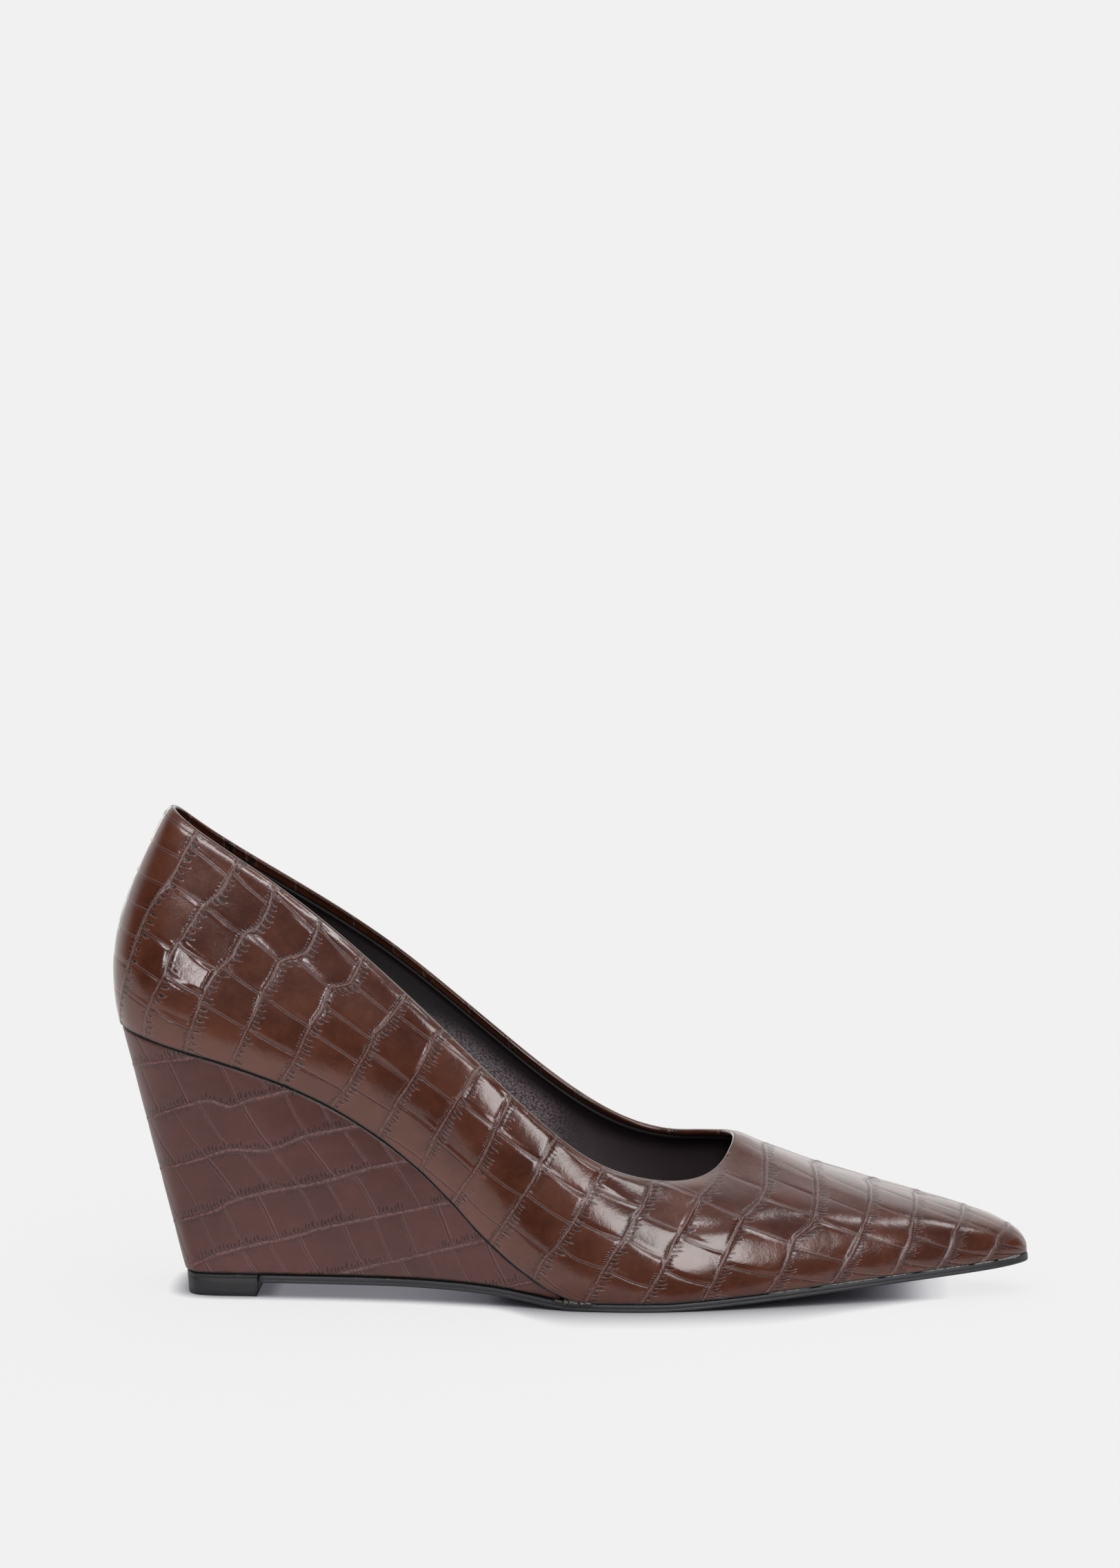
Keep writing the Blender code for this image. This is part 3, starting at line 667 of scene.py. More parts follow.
# ---------------------------------------------------------------------------
# Materials
# ---------------------------------------------------------------------------
def embossed_leather(name, dark, light, cord_colour, gloss, depth=1.0, pitch=1.45, tick=(1.75, 1.30, 0.40), coat=0.25, painted_low_sheen=0.5, painted_joint_shade=(0.6, 0.2)):
    """Glossy leather embossed with scales: needs belt, belt_mm, row, row_mm, along and edge fields.

    tick is the middle of a dent from its cord, its half length and its half width. painted_joint_shade is the width of
    a painted shade along a joint and how far it rambles. painted_low_sheen is the strength of a painted sheen near the
    lasted edge."""
    p = Paint(name)
    belt, belt_mm, row, row_mm, along, edge = (p.field(k) for k in ("belt", "belt_mm", "row", "row_mm", "along", "edge"))
    wander = (p.noise(0.5, 2.0) - 0.5) * 0.55
    grit = p.noise(2.2, 3.0, 0.75)
    cord = belt.round()
    off = (belt - cord) * belt_mm
    off_w = off + wander
    seed = (cord * 12.9898).sin() * 43.7
    # cord: a crumpled strip with a ditch along both sides
    beads = p.cells(1.45, "F1")
    half = 0.20 + p.noise(0.17, 1.0) * 0.30
    reach = off_w.abs() / half + (grit - 0.5) * 0.8 + (beads - 0.3) * 0.25
    on_cord = reach.step(0.62, 1.10, out=(1.0, 0.0))
    lip = (reach - 0.95).abs().step(0.06, 0.34, out=(1.0, 0.0))
    ditch = (reach - 1.65).abs().step(0.15, 0.65, out=(1.0, 0.0))
    # oval dents across the toe side of a cord, finer ones on its heel side
    wave = (along + (p.noise(0.3, 1.0) - 0.5) * 1.6) / pitch + seed
    number = wave.floor() + cord * 31.0
    scatter = ((number * 12.9898).sin() * 43758.5).fract()
    scatter_b = ((number * 78.233).sin() * 24634.6).fract()
    across = ((wave.fract() - 0.5) * pitch + (scatter_b - 0.5) * 0.4 + (grit - 0.5) * 0.25) / (tick[2] * (0.7 + scatter_b * 0.5))
    length = tick[1] * (0.45 + scatter * 0.7)
    far = (off_w - length - (tick[0] - tick[1])) / length
    oval = (far * far + across * across).power(0.5)
    patch = p.noise(0.07, 1.0)
    there = patch.step(0.33, 0.42) * off.step(0.3, 0.6)
    dent = oval.step(0.35, 1.05, out=(1.0, 0.0)) * there
    # the rim of a dent on one side only: raised a little in the bump, and painted as a highlight in the colour
    crescent = (oval - 1.05).abs().step(0.08, 0.42, out=(1.0, 0.0)) * (far * 0.5 - across * 0.8).step(0.0, 0.7) * there
    fine_comb = ((wave * (pitch / 0.8)).fract() - 0.5).abs() * 0.8
    fine_zone = (-off_w).step(0.55, 0.75) * (-off_w + scatter * 0.7).step(1.3, 1.9, out=(1.0, 0.0)) * patch.step(0.40, 0.52)
    fine = fine_comb.step(0.12, 0.32, out=(1.0, 0.0)) * fine_zone
    # cross grooves: a raised lip over a crease; the lip and a fainter line below the crease get a painted highlight,
    # and the crease painted shade
    cross = (row - row.round()) * row_mm + wander * 0.5 + (grit - 0.5) * 0.12
    clear = off.abs().step(0.3, 0.8)
    groove = cross.abs().step(0.05, 0.24, out=(1.0, 0.0)) * clear
    crease = (cross + 0.34).abs().step(0.04, 0.26, out=(1.0, 0.0)) * clear
    under = (cross + 0.64).abs().step(0.04, 0.20, out=(1.0, 0.0)) * clear
    # grain
    pores = p.cells(2.4, "SMOOTH_F1")
    wrinkle = p.noise(0.38, 3.0, 0.62, distortion=0.8)
    fold = p.noise(0.12, 2.0, 0.5)
    height = (
        on_cord * (0.04 + grit * 0.12 - beads * 0.06) * depth
        - ditch * (0.05 * depth)
        - dent * (0.20 * depth)
        + crescent * (0.03 * depth)
        - fine * (0.07 * depth)
        + groove * (0.02 * depth)
        - crease * (0.05 * depth)
        + wrinkle * 0.060
        + fold * 0.18
        + pores * 0.012
        + grit * 0.008
    )
    p.bump(height, 1.0)
    # colour
    tone = ((belt.floor() * 12.9898 + row.floor() * 78.233).sin() * 43758.5).fract()
    mottled = (p.noise(0.055, 3.0, 0.6) + (tone - 0.5) * 0.22).step(0.28, 0.74)
    streak = p.noise(0.15, 3.0, 0.6, vector=p.stretch((0.35, 1.0, 1.0))).step(0.35, 0.75)
    # painted shade: a much darker copy of the leather colour, laid into ditches, dents, pits and creases
    painted_recess_shade = tuple(0.16 * c for c in dark)
    stain = p.noise(0.24, 4.0, 0.65, distortion=0.6).step(0.36, 0.66)
    colour = p.mix((mottled * 0.5 + streak * 0.25 + stain * 0.25), dark, light)
    # painted sheen: lighter, greyer colour at the lasted edge, fading out by 17 mm up, stronger on the heel half,
    # standing in for the floor's reflection
    colour = p.mix(edge.step(3.0, 17.0, out=(painted_low_sheen, 0.0)) * belt.step(8.5, 12.0, out=(1.0, 0.25)), colour, tuple(1.25 * c + 0.019 for c in light))
    # painted shade in the ditch along each cord
    colour = p.mix(ditch * 0.32, colour, painted_recess_shade)
    # painted shade in the oval dents and the fine marks
    colour = p.mix((dent * 0.88 + fine * 0.6).clamp(), colour, painted_recess_shade)
    # painted highlight on one side of each dent's rim
    colour = p.mix(crescent * min(0.7, 3.5 * coat), colour, cord_colour)
    colour = p.mix(on_cord * (grit - beads * 0.5).step(0.05, 0.45, out=(0.40, 1.0)), colour, cord_colour)
    # painted shade in the pits between a cord's beads
    colour = p.mix(on_cord * beads.step(0.36, 0.62) * 0.35, colour, painted_recess_shade)
    # painted highlight: pale glints along the edges of a cord
    colour = p.mix(lip * grit.step(0.50, 0.68) * 0.8, colour, tuple(2.0 * c for c in cord_colour))
    # painted highlights: a pale line on each groove's lip and a fainter one below its crease
    colour = p.mix(groove * 0.6 + under * 0.25, colour, cord_colour)
    # painted shade in the crease of each cross groove
    colour = p.mix(crease * 0.6, colour, painted_recess_shade)
    # painted shade: the turned-in strip and flesh side inside the topline are darkened to 66 %
    colour = p.shade(colour, p.field("turned").step(0.0, 1.0, out=(1.0, 0.66)))
    # painted shade: a dark, wandering band along the joints, at the upper's lasted edge and at the wedge's top and
    # foot
    joint_shade_edge = edge + (p.noise(0.35, 3.0, 0.7) - 0.5) * painted_joint_shade[1] * 2.0
    colour = p.shade(colour, joint_shade_edge.step(0.25 * painted_joint_shade[0], painted_joint_shade[0], out=(0.16, 1.0)))
    rough = (
        gloss + on_cord * 0.20 + dent * 0.10 + (mottled - 0.5) * 0.05 + (groove + crease) * 0.10 + (grit - 0.5) * 0.08
        + edge.step(0.0, 1.2, out=(0.3, 0.0))
    )
    p.set(Base_Color=colour, Roughness=rough.clamp(), Metallic=0.0, Specular_IOR_Level=0.5)
    p.set(Coat_Weight=coat, Coat_Roughness=0.15, Coat_IOR=1.5)
    return p.material


def lining_leather(name):
    """Black lining leather, smooth at the topline and pebbled lower down; the pebbled part and the front carry painted
    light, and the pebbles' tops a painted sheen.
    """
    p = Paint(name)
    front = p.field("front")
    low = p.field("edge").step(4.0, 13.0)
    rough = low * (1.0 - front)
    grain = p.cells(1.8, "SMOOTH_F1")
    cloud = p.noise(0.05, 3.0, 0.6)
    fine = p.noise(3.0, 2.0)
    smooth_part = p.mix(cloud.step(0.3, 0.7), (0.0050, 0.0031, 0.0037), (0.0066, 0.0042, 0.0050))
    # painted sheen: the pebbled lining is far lighter than the smooth part, lightest on its pebbles' tops
    pebbled = p.mix(grain.step(0.15, 0.7), (0.125, 0.097, 0.104), (0.036, 0.026, 0.029))
    # painted light: the smooth lining at the front is lighter than at the topline, standing in for light reaching
    # under the vamp
    vamp_part_painted_light = p.mix(cloud.step(0.3, 0.7), (0.026, 0.0185, 0.0215), (0.034, 0.0245, 0.0280))
    colour = p.mix(rough, smooth_part, pebbled)
    colour = p.mix(low * front, colour, vamp_part_painted_light)
    p.set(Base_Color=colour, Roughness=(0.48 + cloud * 0.12 + fine * 0.05 - rough * 0.12), Metallic=0.0, Specular_IOR_Level=0.22)
    p.bump(fine * 0.012 + cloud * 0.1 - grain * (0.02 + rough * 0.20))
    return p.material


def sock_leather(name):
    """Black pebbled sock."""
    p = Paint(name)
    pebble = p.cells(1.05, "SMOOTH_F1")
    crack = p.cells(1.05, "DISTANCE_TO_EDGE")
    fine = p.noise(4.0, 2.0)
    cloud = p.noise(0.04, 3.0)
    colour = p.mix(pebble.step(0.1, 0.8), (0.0165, 0.0145, 0.0155), (0.006, 0.0055, 0.006))
    p.set(Base_Color=colour, Roughness=(0.30 + pebble * 0.22 + fine * 0.06 + cloud * 0.06), Metallic=0.0, Specular_IOR_Level=0.5)
    p.bump(crack.step(0.0, 0.18) * 0.10 - pebble * 0.12 + fine * 0.015)
    return p.material


def sole_rubber(name, body, dust):
    """Dense slate sole rubber: ground sides, faint lines along the edge, pale cement on its top edge."""
    p = Paint(name)
    low = p.field("edge")
    fine = p.noise(5.0, 3.0, 0.6)
    ground = p.noise(0.8, 3.0, 0.65, vector=p.stretch((0.18, 0.18, 2.2)))
    cloud = p.noise(0.07, 3.0, 0.6)
    colour = p.mix((cloud * 0.55 + ground * 0.45).step(0.3, 0.7), body, dust)
    flake = p.noise(0.9, 3.0, 0.7).step(0.54, 0.64) * low.step(0.15, 0.4, out=(1.0, 0.0)) * p.noise(0.04, 1.0).step(0.52, 0.62)
    colour = p.mix(flake * 0.6, colour, (0.26, 0.255, 0.245))
    line = (low - 1.05).abs().step(0.06, 0.16, out=(1.0, 0.0))
    colour = p.mix(line * 0.5, colour, tuple(0.4 * c for c in body))
    p.set(Base_Color=colour, Roughness=(0.42 + ground * 0.2 + flake * 0.25), Metallic=0.0, Specular_IOR_Level=0.5)
    p.bump(fine * 0.02 + ground * 0.06 + flake * 0.08 - line * 0.06)
    return p.material


def cement(name, body, crust, shine):
    """Dried cement squeezed from a joint."""
    p = Paint(name)
    lump = p.noise(1.4, 3.0, 0.6)
    colour = p.mix(lump.step(0.35, 0.7), body, crust)
    p.set(Base_Color=colour, Roughness=(shine + lump * 0.2), Metallic=0.0, Specular_IOR_Level=0.5)
    p.bump(lump * 0.15)
    return p.material


UPPER_LEATHER = embossed_leather(
    "upper_leather", (0.0510, 0.0110, 0.0046), (0.1290, 0.0355, 0.0174), (0.180, 0.076, 0.059), 0.20, painted_low_sheen=0.36
)
WEDGE_LEATHER = embossed_leather(
    "wedge_leather", (0.0690, 0.0163, 0.0112), (0.1080, 0.0290, 0.0216), (0.180, 0.0690, 0.0570), 0.38,
    depth=0.75, pitch=1.2, tick=(1.75, 1.35, 0.29), coat=0.08, painted_low_sheen=0.0, painted_joint_shade=(0.9, 0.7),
)
LINING = lining_leather("lining_leather")
SOCK = sock_leather("sock_leather")
OUTSOLE_RUBBER = sole_rubber("outsole_rubber", (0.0086, 0.0092, 0.0122), (0.0182, 0.0196, 0.0248))
LIFT_RUBBER = sole_rubber("lift_rubber", (0.0036, 0.0042, 0.0058), (0.0078, 0.0088, 0.0116))
DARK_CEMENT = cement("dark_cement", (0.016, 0.012, 0.011), (0.05, 0.042, 0.038), 0.12)
PALE_CEMENT = cement("pale_cement", (0.10, 0.092, 0.088), (0.27, 0.262, 0.255), 0.45)


# ---------------------------------------------------------------------------
# Upper: two halves of embossed leather with a turned-in topline.
# ---------------------------------------------------------------------------
SKIN_COLUMNS, SKIN_ROWS = 520, 148
FOLD, TURNED = 0.8, 3.0   # radius of the fold at the topline, depth of the turned edge inside
TOP_ROLL, ROLL_DEPTH = 0.50, 3.1   # how far the leather rolls in below the fold, and over what depth


def ring_samples(start, end, count):
    """Ring positions that share out the length of the lasted edge and of the topline."""
    fine = np.linspace(start, end, 4000)
    feather, collar = ring(fine)[:2]
    step = np.maximum(
        np.linalg.norm(np.diff(feather, axis=0), axis=1), np.linalg.norm(np.diff(collar, axis=0), axis=1)
    )
    length = np.r_[0.0, np.cumsum(step)]
    return np.interp(np.linspace(0.0, length[-1], count), length, fine)


def topline_frame(at):
    """Length of each wall, and the share of it at a depth below the topline."""
    v = np.linspace(0.0, 1.0, 200)
    p = wall_points(at, v)
    length = np.c_[np.zeros(len(p)), np.cumsum(np.linalg.norm(np.diff(p, axis=1), axis=2), axis=1)]
    return v, length


def shares_below(at, depths):
    """v of each column at the given depths (mm) below the topline."""
    v, length = topline_frame(at)
    return np.array([np.interp(l[-1] - np.asarray(depths), l, v) for l in length])


def upper_half(name, start, end):
    inner_at = ring_samples(start, end, SKIN_COLUMNS)
    at = np.r_[2 * inner_at[0] - inner_at[1], inner_at, 2 * inner_at[-1] - inner_at[-2]]
    top = shares_below(at, [FOLD])[:, 0]
    v = np.linspace(0.0, 1.0, SKIN_ROWS)[None, :] * top[:, None]
    base = wall_points(at, v)
    normal = wall_normals(at, v)
    belt, level, along, medial = chart_upper(base, at, v)
    row, slope = row_number(belt, level, medial)
    belt_mm = 1.0 / np.maximum(gradient_mm(base, belt), 1 / 25.0)
    row_mm = 1.0 / np.maximum(gradient_mm(base, level) * slope, 1 / 40.0)
    relief = scale_relief(belt, belt_mm, row, row_mm) + scale_tilt(belt, belt_mm, row, row_mm, medial)
    tall = topline_frame(at)[1][:, -1][:, None]
    from_top = (top[:, None] - v) / np.maximum(top[:, None], 1e-6) * (tall - FOLD)
    relief = relief * smooth(0.0, 1.4, from_top) - TOP_ROLL * np.clip(1.0 - from_top / ROLL_DEPTH, 0.0, 1.0) ** 2 - 0.10 * smooth(1.2, 0.2, np.minimum(along, 1e9))
    outer = base + normal * relief[..., None]
    # fold over the topline, turned edge inside, then the hidden flesh side
    edge, edge_n = outer[:, -1], normal[:, -1]
    rise = wall_points(at, np.ones(1))[:, 0] - base[:, -1]
    rise -= (rise * edge_n).sum(1)[:, None] * edge_n
    rise /= np.linalg.norm(rise, axis=1)[:, None]
    centre = edge - FOLD * edge_n
    angles = np.radians((24, 48, 72, 96, 120, 144, 168))
    fold = np.stack([centre + FOLD * (math.cos(a) * edge_n + math.sin(a) * rise) for a in angles], 1)
    inside_v = shares_below(at, np.linspace(1.2, TURNED, 5))
    strip = wall_points(at, inside_v) - (WALL + 0.02) * wall_normals(at, inside_v)
    flesh_v = shares_below(at, [TURNED])[:, :1] * np.linspace(1.0, 0.0, 7)[None, :]
    flesh = wall_points(at, flesh_v) - SKIN * wall_normals(at, flesh_v)
    grid = np.concatenate([outer, fold, strip, flesh], 1)
    normals = vertex_normals(grid, True)
    normals[:, 0] = normals[:, 1]
    grid = grid[1:-1]
    count_u, count_v = grid.shape[:2]

    def padded(values, fill=None):
        tail = count_v - SKIN_ROWS
        last = values[1:-1, -1:] if fill is None else np.full((count_u, 1), fill)
        return np.concatenate([values[1:-1], np.repeat(last, tail, 1)], 1)

    fields = {
        "belt": padded(belt), "belt_mm": padded(belt_mm), "row": padded(row, 0.5), "row_mm": padded(row_mm),
        "along": padded(level * 45.0),
        "edge": padded(np.minimum(v / np.maximum(top[:, None], 1e-6) * (tall - FOLD), 30.0), 30.0),
    }
    # marks the turned-in strip and flesh side, which the leather material darkens as painted shade
    turned = np.clip((np.arange(count_v) - SKIN_ROWS - 2) / 4.0, 0.0, 1.0)
    fields["turned"] = np.broadcast_to(turned, (count_u, count_v))
    faces, a, b = grid_faces(count_u, count_v, False, True)
    lengths = np.linalg.norm(np.diff(np.concatenate([grid, grid[:, :1]], 1), axis=1), axis=2).mean(0)
    lengths[SKIN_ROWS + len(angles) + 4:] *= 0.04
    v_at = np.r_[0.0, np.cumsum(lengths)]
    u_at = np.r_[0.0, np.cumsum(np.linalg.norm(np.diff(grid[:, SKIN_ROWS // 3], axis=0), axis=1))]
    uv = strip_uv(a, b, count_u - 1, count_v, v_at, 2, u_at)
    points = grid.reshape(-1, 3)
    all_faces = faces.tolist()
    caps = [list(range(count_v)), [(count_u - 1) * count_v + k for k in range(count_v)][::-1]]
    corners = uv.reshape(-1, 2)
    extra = np.full((2 * count_v, 2), 0.002)
    # the grid runs so that its faces look outwards when the ring travels heel to toe on the lateral side
    mid = grid[count_u // 2, SKIN_ROWS // 2]
    f = all_faces[(count_u // 2) * count_v + SKIN_ROWS // 2]
    face_normal = np.cross(points[f[1]] - points[f[0]], points[f[2]] - points[f[0]])
    if np.dot(face_normal, normals[count_u // 2, SKIN_ROWS // 2]) < 0:
        all_faces = [g[::-1] for g in all_faces]
        corners = uv[:, ::-1].reshape(-1, 2)
        caps = [c[::-1] for c in caps]
    caps = [caps[0][::-1], caps[1][::-1]]
    item = make_object(
        name, points, all_faces + caps, UPPER_LEATHER, fields, normals.reshape(-1, 3), np.r_[corners, extra]
    )
    return item


lateral_half = place(upper_half("upper_lateral", 0.0, TIP), "upper")
medial_half = place(upper_half("upper_medial", TIP, RING), "upper")


# ---------------------------------------------------------------------------
# Lining: black leather inside the upper with a beaded top edge.
# ---------------------------------------------------------------------------
def build_lining():
    at = ring_samples(0.0, RING, 421)[:-1]
    depths_top = tuple(TURNED + k for k in (0.05, 0.05, 0.10, 0.28, 0.62, 1.05, 1.45, 1.75, 2.0))
    depth_in = (1.05, 1.72, 2.08, 2.34, 2.44, 2.36, 2.12, 1.86, 1.74)
    v_top = shares_below(at, depths_top)
    bead = wall_points(at, v_top) - np.array(depth_in)[None, :, None] * wall_normals(at, v_top)
    v_low = v_top[:, -1:] * np.linspace(1.0, 0.0, 34)[None, 1:]
    face = wall_points(at, v_low) - 1.74 * wall_normals(at, v_low)
    v_back = v_top[:, :1] * np.linspace(0.0, 1.0, 6)[None, :-1]
    behind = wall_points(at, v_back) - (SKIN + 0.06) * wall_normals(at, v_back)
    grid = np.concatenate([bead, face, behind], 1)
    count_u, count_v = grid.shape[:2]
    faces, a, b = grid_faces(count_u, count_v, True, True)
    lengths = np.linalg.norm(np.diff(np.concatenate([grid, grid[:, :1]], 1), axis=1), axis=2).mean(0)
    lengths[len(depth_in) + 33:] *= 0.05
    u_at = np.r_[0.0, np.cumsum(np.linalg.norm(np.diff(np.concatenate([grid[:, 20], grid[:1, 20]]), axis=0), axis=1))]
    uv = strip_uv(a, b, count_u, count_v, np.r_[0.0, np.cumsum(lengths)], 3, u_at)
    points = grid.reshape(-1, 3)
    faces = faces.tolist()
    if not outward_faces(points - points.mean(0), faces):
        faces, uv = [f[::-1] for f in faces], uv[:, ::-1]
    down = np.linalg.norm(grid - grid[:, :1], axis=2)
    # painted light: depths count for less towards the heel, so the lighter pebbled lining starts lower there
    return make_object("lining", points, faces, LINING, {"edge": down * (0.35 + 0.65 * smooth(74.0, 98.0, grid[..., 0])), "front": smooth(112.0, 128.0, grid[..., 0])}, None, uv)


lining = place(build_lining(), "upper")


# ---------------------------------------------------------------------------
# Solid pieces from an outline pair: outsole, top lift, insole.
# ---------------------------------------------------------------------------
def eased(start, end, count, ease_start=True, ease_end=True):
    u = np.linspace(0.0, 1.0, count)
    if ease_start and ease_end:
        u = 0.65 * (0.5 - 0.5 * np.cos(math.pi * u)) + 0.35 * (3 * u**2 - 2 * u**3)
    elif ease_start:
        u = 0.8 * u**2 + 0.2 * u**3
    elif ease_end:
        u = 1 - (0.8 * (1 - u) ** 2 + 0.2 * (1 - u) ** 3)
    return start + (end - start) * u


def loop_normals(plan):
    """Outward plan normals of a closed loop."""
    step = np.roll(plan, -1, 0) - np.roll(plan, 1, 0)
    n = np.c_[step[:, 1], -step[:, 0]]
    n /= np.maximum(np.linalg.norm(n, axis=1)[:, None], 1e-9)
    area = 0.5 * np.sum(plan[:, 0] * np.roll(plan[:, 1], -1) - np.roll(plan[:, 0], -1) * plan[:, 1])
    return n if area > 0 else -n


def slab(name, lateral, medial, height, profile, material, crown=None, edge_from=0.0):
    """Solid between two sides of an outline. profile is (inset, fall) from the top down; height(x) is the top.

    The sides are (x, y) from heel to toe with the same x; end points that meet are shared."""
    n = len(lateral)
    loop = np.r_[lateral, medial[::-1]]
    pair = 2 * n - 1 - np.arange(2 * n)
    out = loop_normals(loop)
    levels = []
    for inset, fall in profile:
        plan = loop - inset * out
        x = plan[:, 0]
        slope = (height(x + 0.05) - height(x - 0.05)) / 0.1
        length = np.sqrt(1 + slope**2)
        levels.append(np.c_[x + fall * slope / length, plan[:, 1], height(x) - fall / length])
    m = 2 * n
    points = np.concatenate(levels)
    faces, falls = [], np.repeat([f for _, f in profile], m) - edge_from
    for k in range(len(levels) - 1):
        a = np.arange(m)
        b = (a + 1) % m
        faces += np.stack([k * m + a, (k + 1) * m + a, (k + 1) * m + b, k * m + b], 1).tolist()
    across = 6
    for level, flip in ((0, False), (len(levels) - 1, True)):
        start = len(points)
        lat, med = levels[level][:n], levels[level][pair[:n]]
        u = (np.arange(1, across) / across)[None, :, None]
        inner = lat[:, None, :] * (1 - u) + med[:, None, :] * u
        if crown and not flip:
            inner[..., 2] += crown * (4 * u[..., 0] * (1 - u[..., 0])) * np.minimum(1.0, np.abs(med - lat)[:, 1] / 12.0)[:, None]
        points = np.r_[points, inner.reshape(-1, 3)]
        falls = np.r_[falls, np.full(n * (across - 1), 9.0)]
        ids = np.concatenate([
            (level * m + np.arange(n))[:, None],
            start + np.arange(n * (across - 1)).reshape(n, across - 1),
            (level * m + pair[:n])[:, None],
        ], 1)
        for i in range(n - 1):
            for j in range(across):
                quad = [ids[i, j], ids[i + 1, j], ids[i + 1, j + 1], ids[i, j + 1]]
                faces.append(quad if not flip else quad[::-1])
    faces = [[int(k) for k in f] for f in faces]
    item = make_object(name, points, faces, material, {"edge": falls})
    work = bmesh.new()
    work.from_mesh(item.data)
    bmesh.ops.remove_doubles(work, verts=work.verts[:], dist=1e-7)
    bmesh.ops.dissolve_degenerate(work, edges=work.edges[:], dist=1e-7)
    # pointed ends close to a point; blunt ends take the points of the faces above and below them
    bmesh.ops.remove_doubles(work, verts=[v for v in work.verts if v.is_boundary], dist=3e-5)
    bmesh.ops.dissolve_degenerate(work, edges=work.edges[:], dist=1e-7)
    rim = [e for e in work.edges if e.is_boundary]
    near = {e: [o.calc_length() for v in e.verts for o in v.link_edges if o.is_boundary and o is not e] for e in rim}
    wide = [e for e in rim if near[e] and e.calc_length() > 3.0 * min(near[e])]
    split = []
    for edge in wide:
        face = edge.link_faces[0]
        while edge not in split:
            split.append(edge)
            edge = next((o for o in face.edges if not set(o.verts) & set(edge.verts)), edge)
            face = next((f for f in edge.link_faces if f is not face), face)
    bmesh.ops.subdivide_edges(work, edges=split, cuts=across - 1, use_grid_fill=True)
    bmesh.ops.remove_doubles(work, verts=[v for v in work.verts if v.is_boundary], dist=1.2e-6)
    bmesh.ops.holes_fill(work, edges=[e for e in work.edges if e.is_boundary], sides=0)
    bmesh.ops.recalc_face_normals(work, faces=work.faces[:])
    work.to_mesh(item.data)
    work.free()
    return item


def build_outsole():
    lateral, _ = lasted_outline(OUTSOLE_WELT, 1600)
    x = eased(OUTSOLE_BACK_X, lateral[-1, 0], 260, ease_start=False)
    front_lat, front_med = sides(OUTSOLE_WELT, x)
    under_lat = -monotone(WEDGE_FOOT, 1, np.minimum(x, WEDGE_FRONT_X)) - 0.4
    under_med = monotone(WEDGE_FOOT, 2, np.minimum(x, WEDGE_FRONT_X)) + 0.4
    blend = smooth(108.0, 126.0, x)
    y_lat = under_lat + blend * (front_lat - under_lat)
    y_med = under_med + blend * (front_med - under_med)
    y_lat[-1] = y_med[-1] = 0.5 * (y_lat[-1] + y_med[-1])
    t = OUTSOLE_THICK
    profile = (
        (0.30, 0.0), (0.12, 0.05), (0.03, 0.18), (0.0, 0.4), (0.0, 0.95), (0.06, 1.05), (0.0, 1.15),
        (0.0, t - 0.4), (0.06, t - 0.16), (0.2, t - 0.03), (0.45, t),
    )
    return slab("outsole", np.c_[x, y_lat], np.c_[x, y_med], outsole_height, profile, OUTSOLE_RUBBER)


def build_lift():
    x = eased(LIFT_PLAN[0][0], LIFT_FRONT_X, 90, ease_end=False)
    half = monotone(LIFT_PLAN, 1, x)
    h = LIFT_HEIGHT
    profile = (
        (0.35, 0.0), (0.12, 0.06), (0.02, 0.25), (0.02, 0.5), (0.05, 0.95), (0.12, 1.05), (0.06, 1.15),
        (0.18, 2.6), (0.30, 4.2), (0.42, h - 0.4), (0.52, h - 0.12), (0.75, h),
    )
    return slab("top_lift_cover", np.c_[x, -half], np.c_[x, half], lambda q: np.full_like(np.asarray(q, float), h), profile, LIFT_RUBBER)


def build_insole():
    inset = WALL - 0.3      # the sock's edge is pressed into the lining
    lateral, _ = lasted_outline(-inset, 1600)
    x = eased(lateral[0, 0], lateral[-1, 0], 200)
    y_lat, y_med = sides(-inset, x)
    y_lat[0] = y_med[0] = 0.5 * (y_lat[0] + y_med[0])
    y_lat[-1] = y_med[-1] = 0.5 * (y_lat[-1] + y_med[-1])
    t = INSOLE_THICK
    profile = ((0.9, -0.05), (0.35, 0.08), (0.08, 0.35), (0.0, 0.8), (0.0, t - 0.2), (0.15, t))
    return slab("insole_sock", np.c_[x, y_lat], np.c_[x, y_med], lambda q: sole_height(q) + t, profile, SOCK, crown=-0.5)


place(build_outsole(), "outsole")
place(build_lift(), "top_lift")
place(build_insole(), "insole")


# ---------------------------------------------------------------------------
# Wedge: leather cover embossed with lengthways belts.
# ---------------------------------------------------------------------------
WEDGE_COLUMNS, WEDGE_LINES = 240, 110
# Cords of the wedge: height (mm) at these distances round from the back, lowest cord first.
WEDGE_AT = (0.0, 15.0, 30.0, 36.0, 41.0, 47.0, 60.0, 80.0, 100.0, 125.0)
WEDGE_CORDS = (
    (-22.0, -18.5, -14.0, -12.5, -11.4, -10.0, -6.8, -2.4, 2.0, 7.2),
    (-9.0, -5.5, -1.0, 0.5, 1.6, 2.8, 6.2, 10.7, 15.1, 20.5),
    (3.5, 7.2, 12.0, 13.4, 14.5, 15.6, 19.0, 23.0, 26.8, 31.5),
    (16.5, 19.5, 23.2, 26.0, 27.3, 28.7, 31.0, 36.0, 39.5, 44.0),
    (31.0, 33.5, 37.3, 39.2, 39.9, 39.6, 43.6, 47.5, 51.0, 56.0),
    (44.0, 47.0, 51.7, 52.9, 51.5, 53.2, 56.2, 60.0, 64.0, 69.0),
    (58.5, 61.2, 63.8, 64.7, 65.4, 66.2, 68.0, 71.0, 74.0, 78.0),
    (74.0, 76.0, 78.0, 79.0, 80.0, 81.0, 83.0, 86.0, 89.0, 93.0),
)


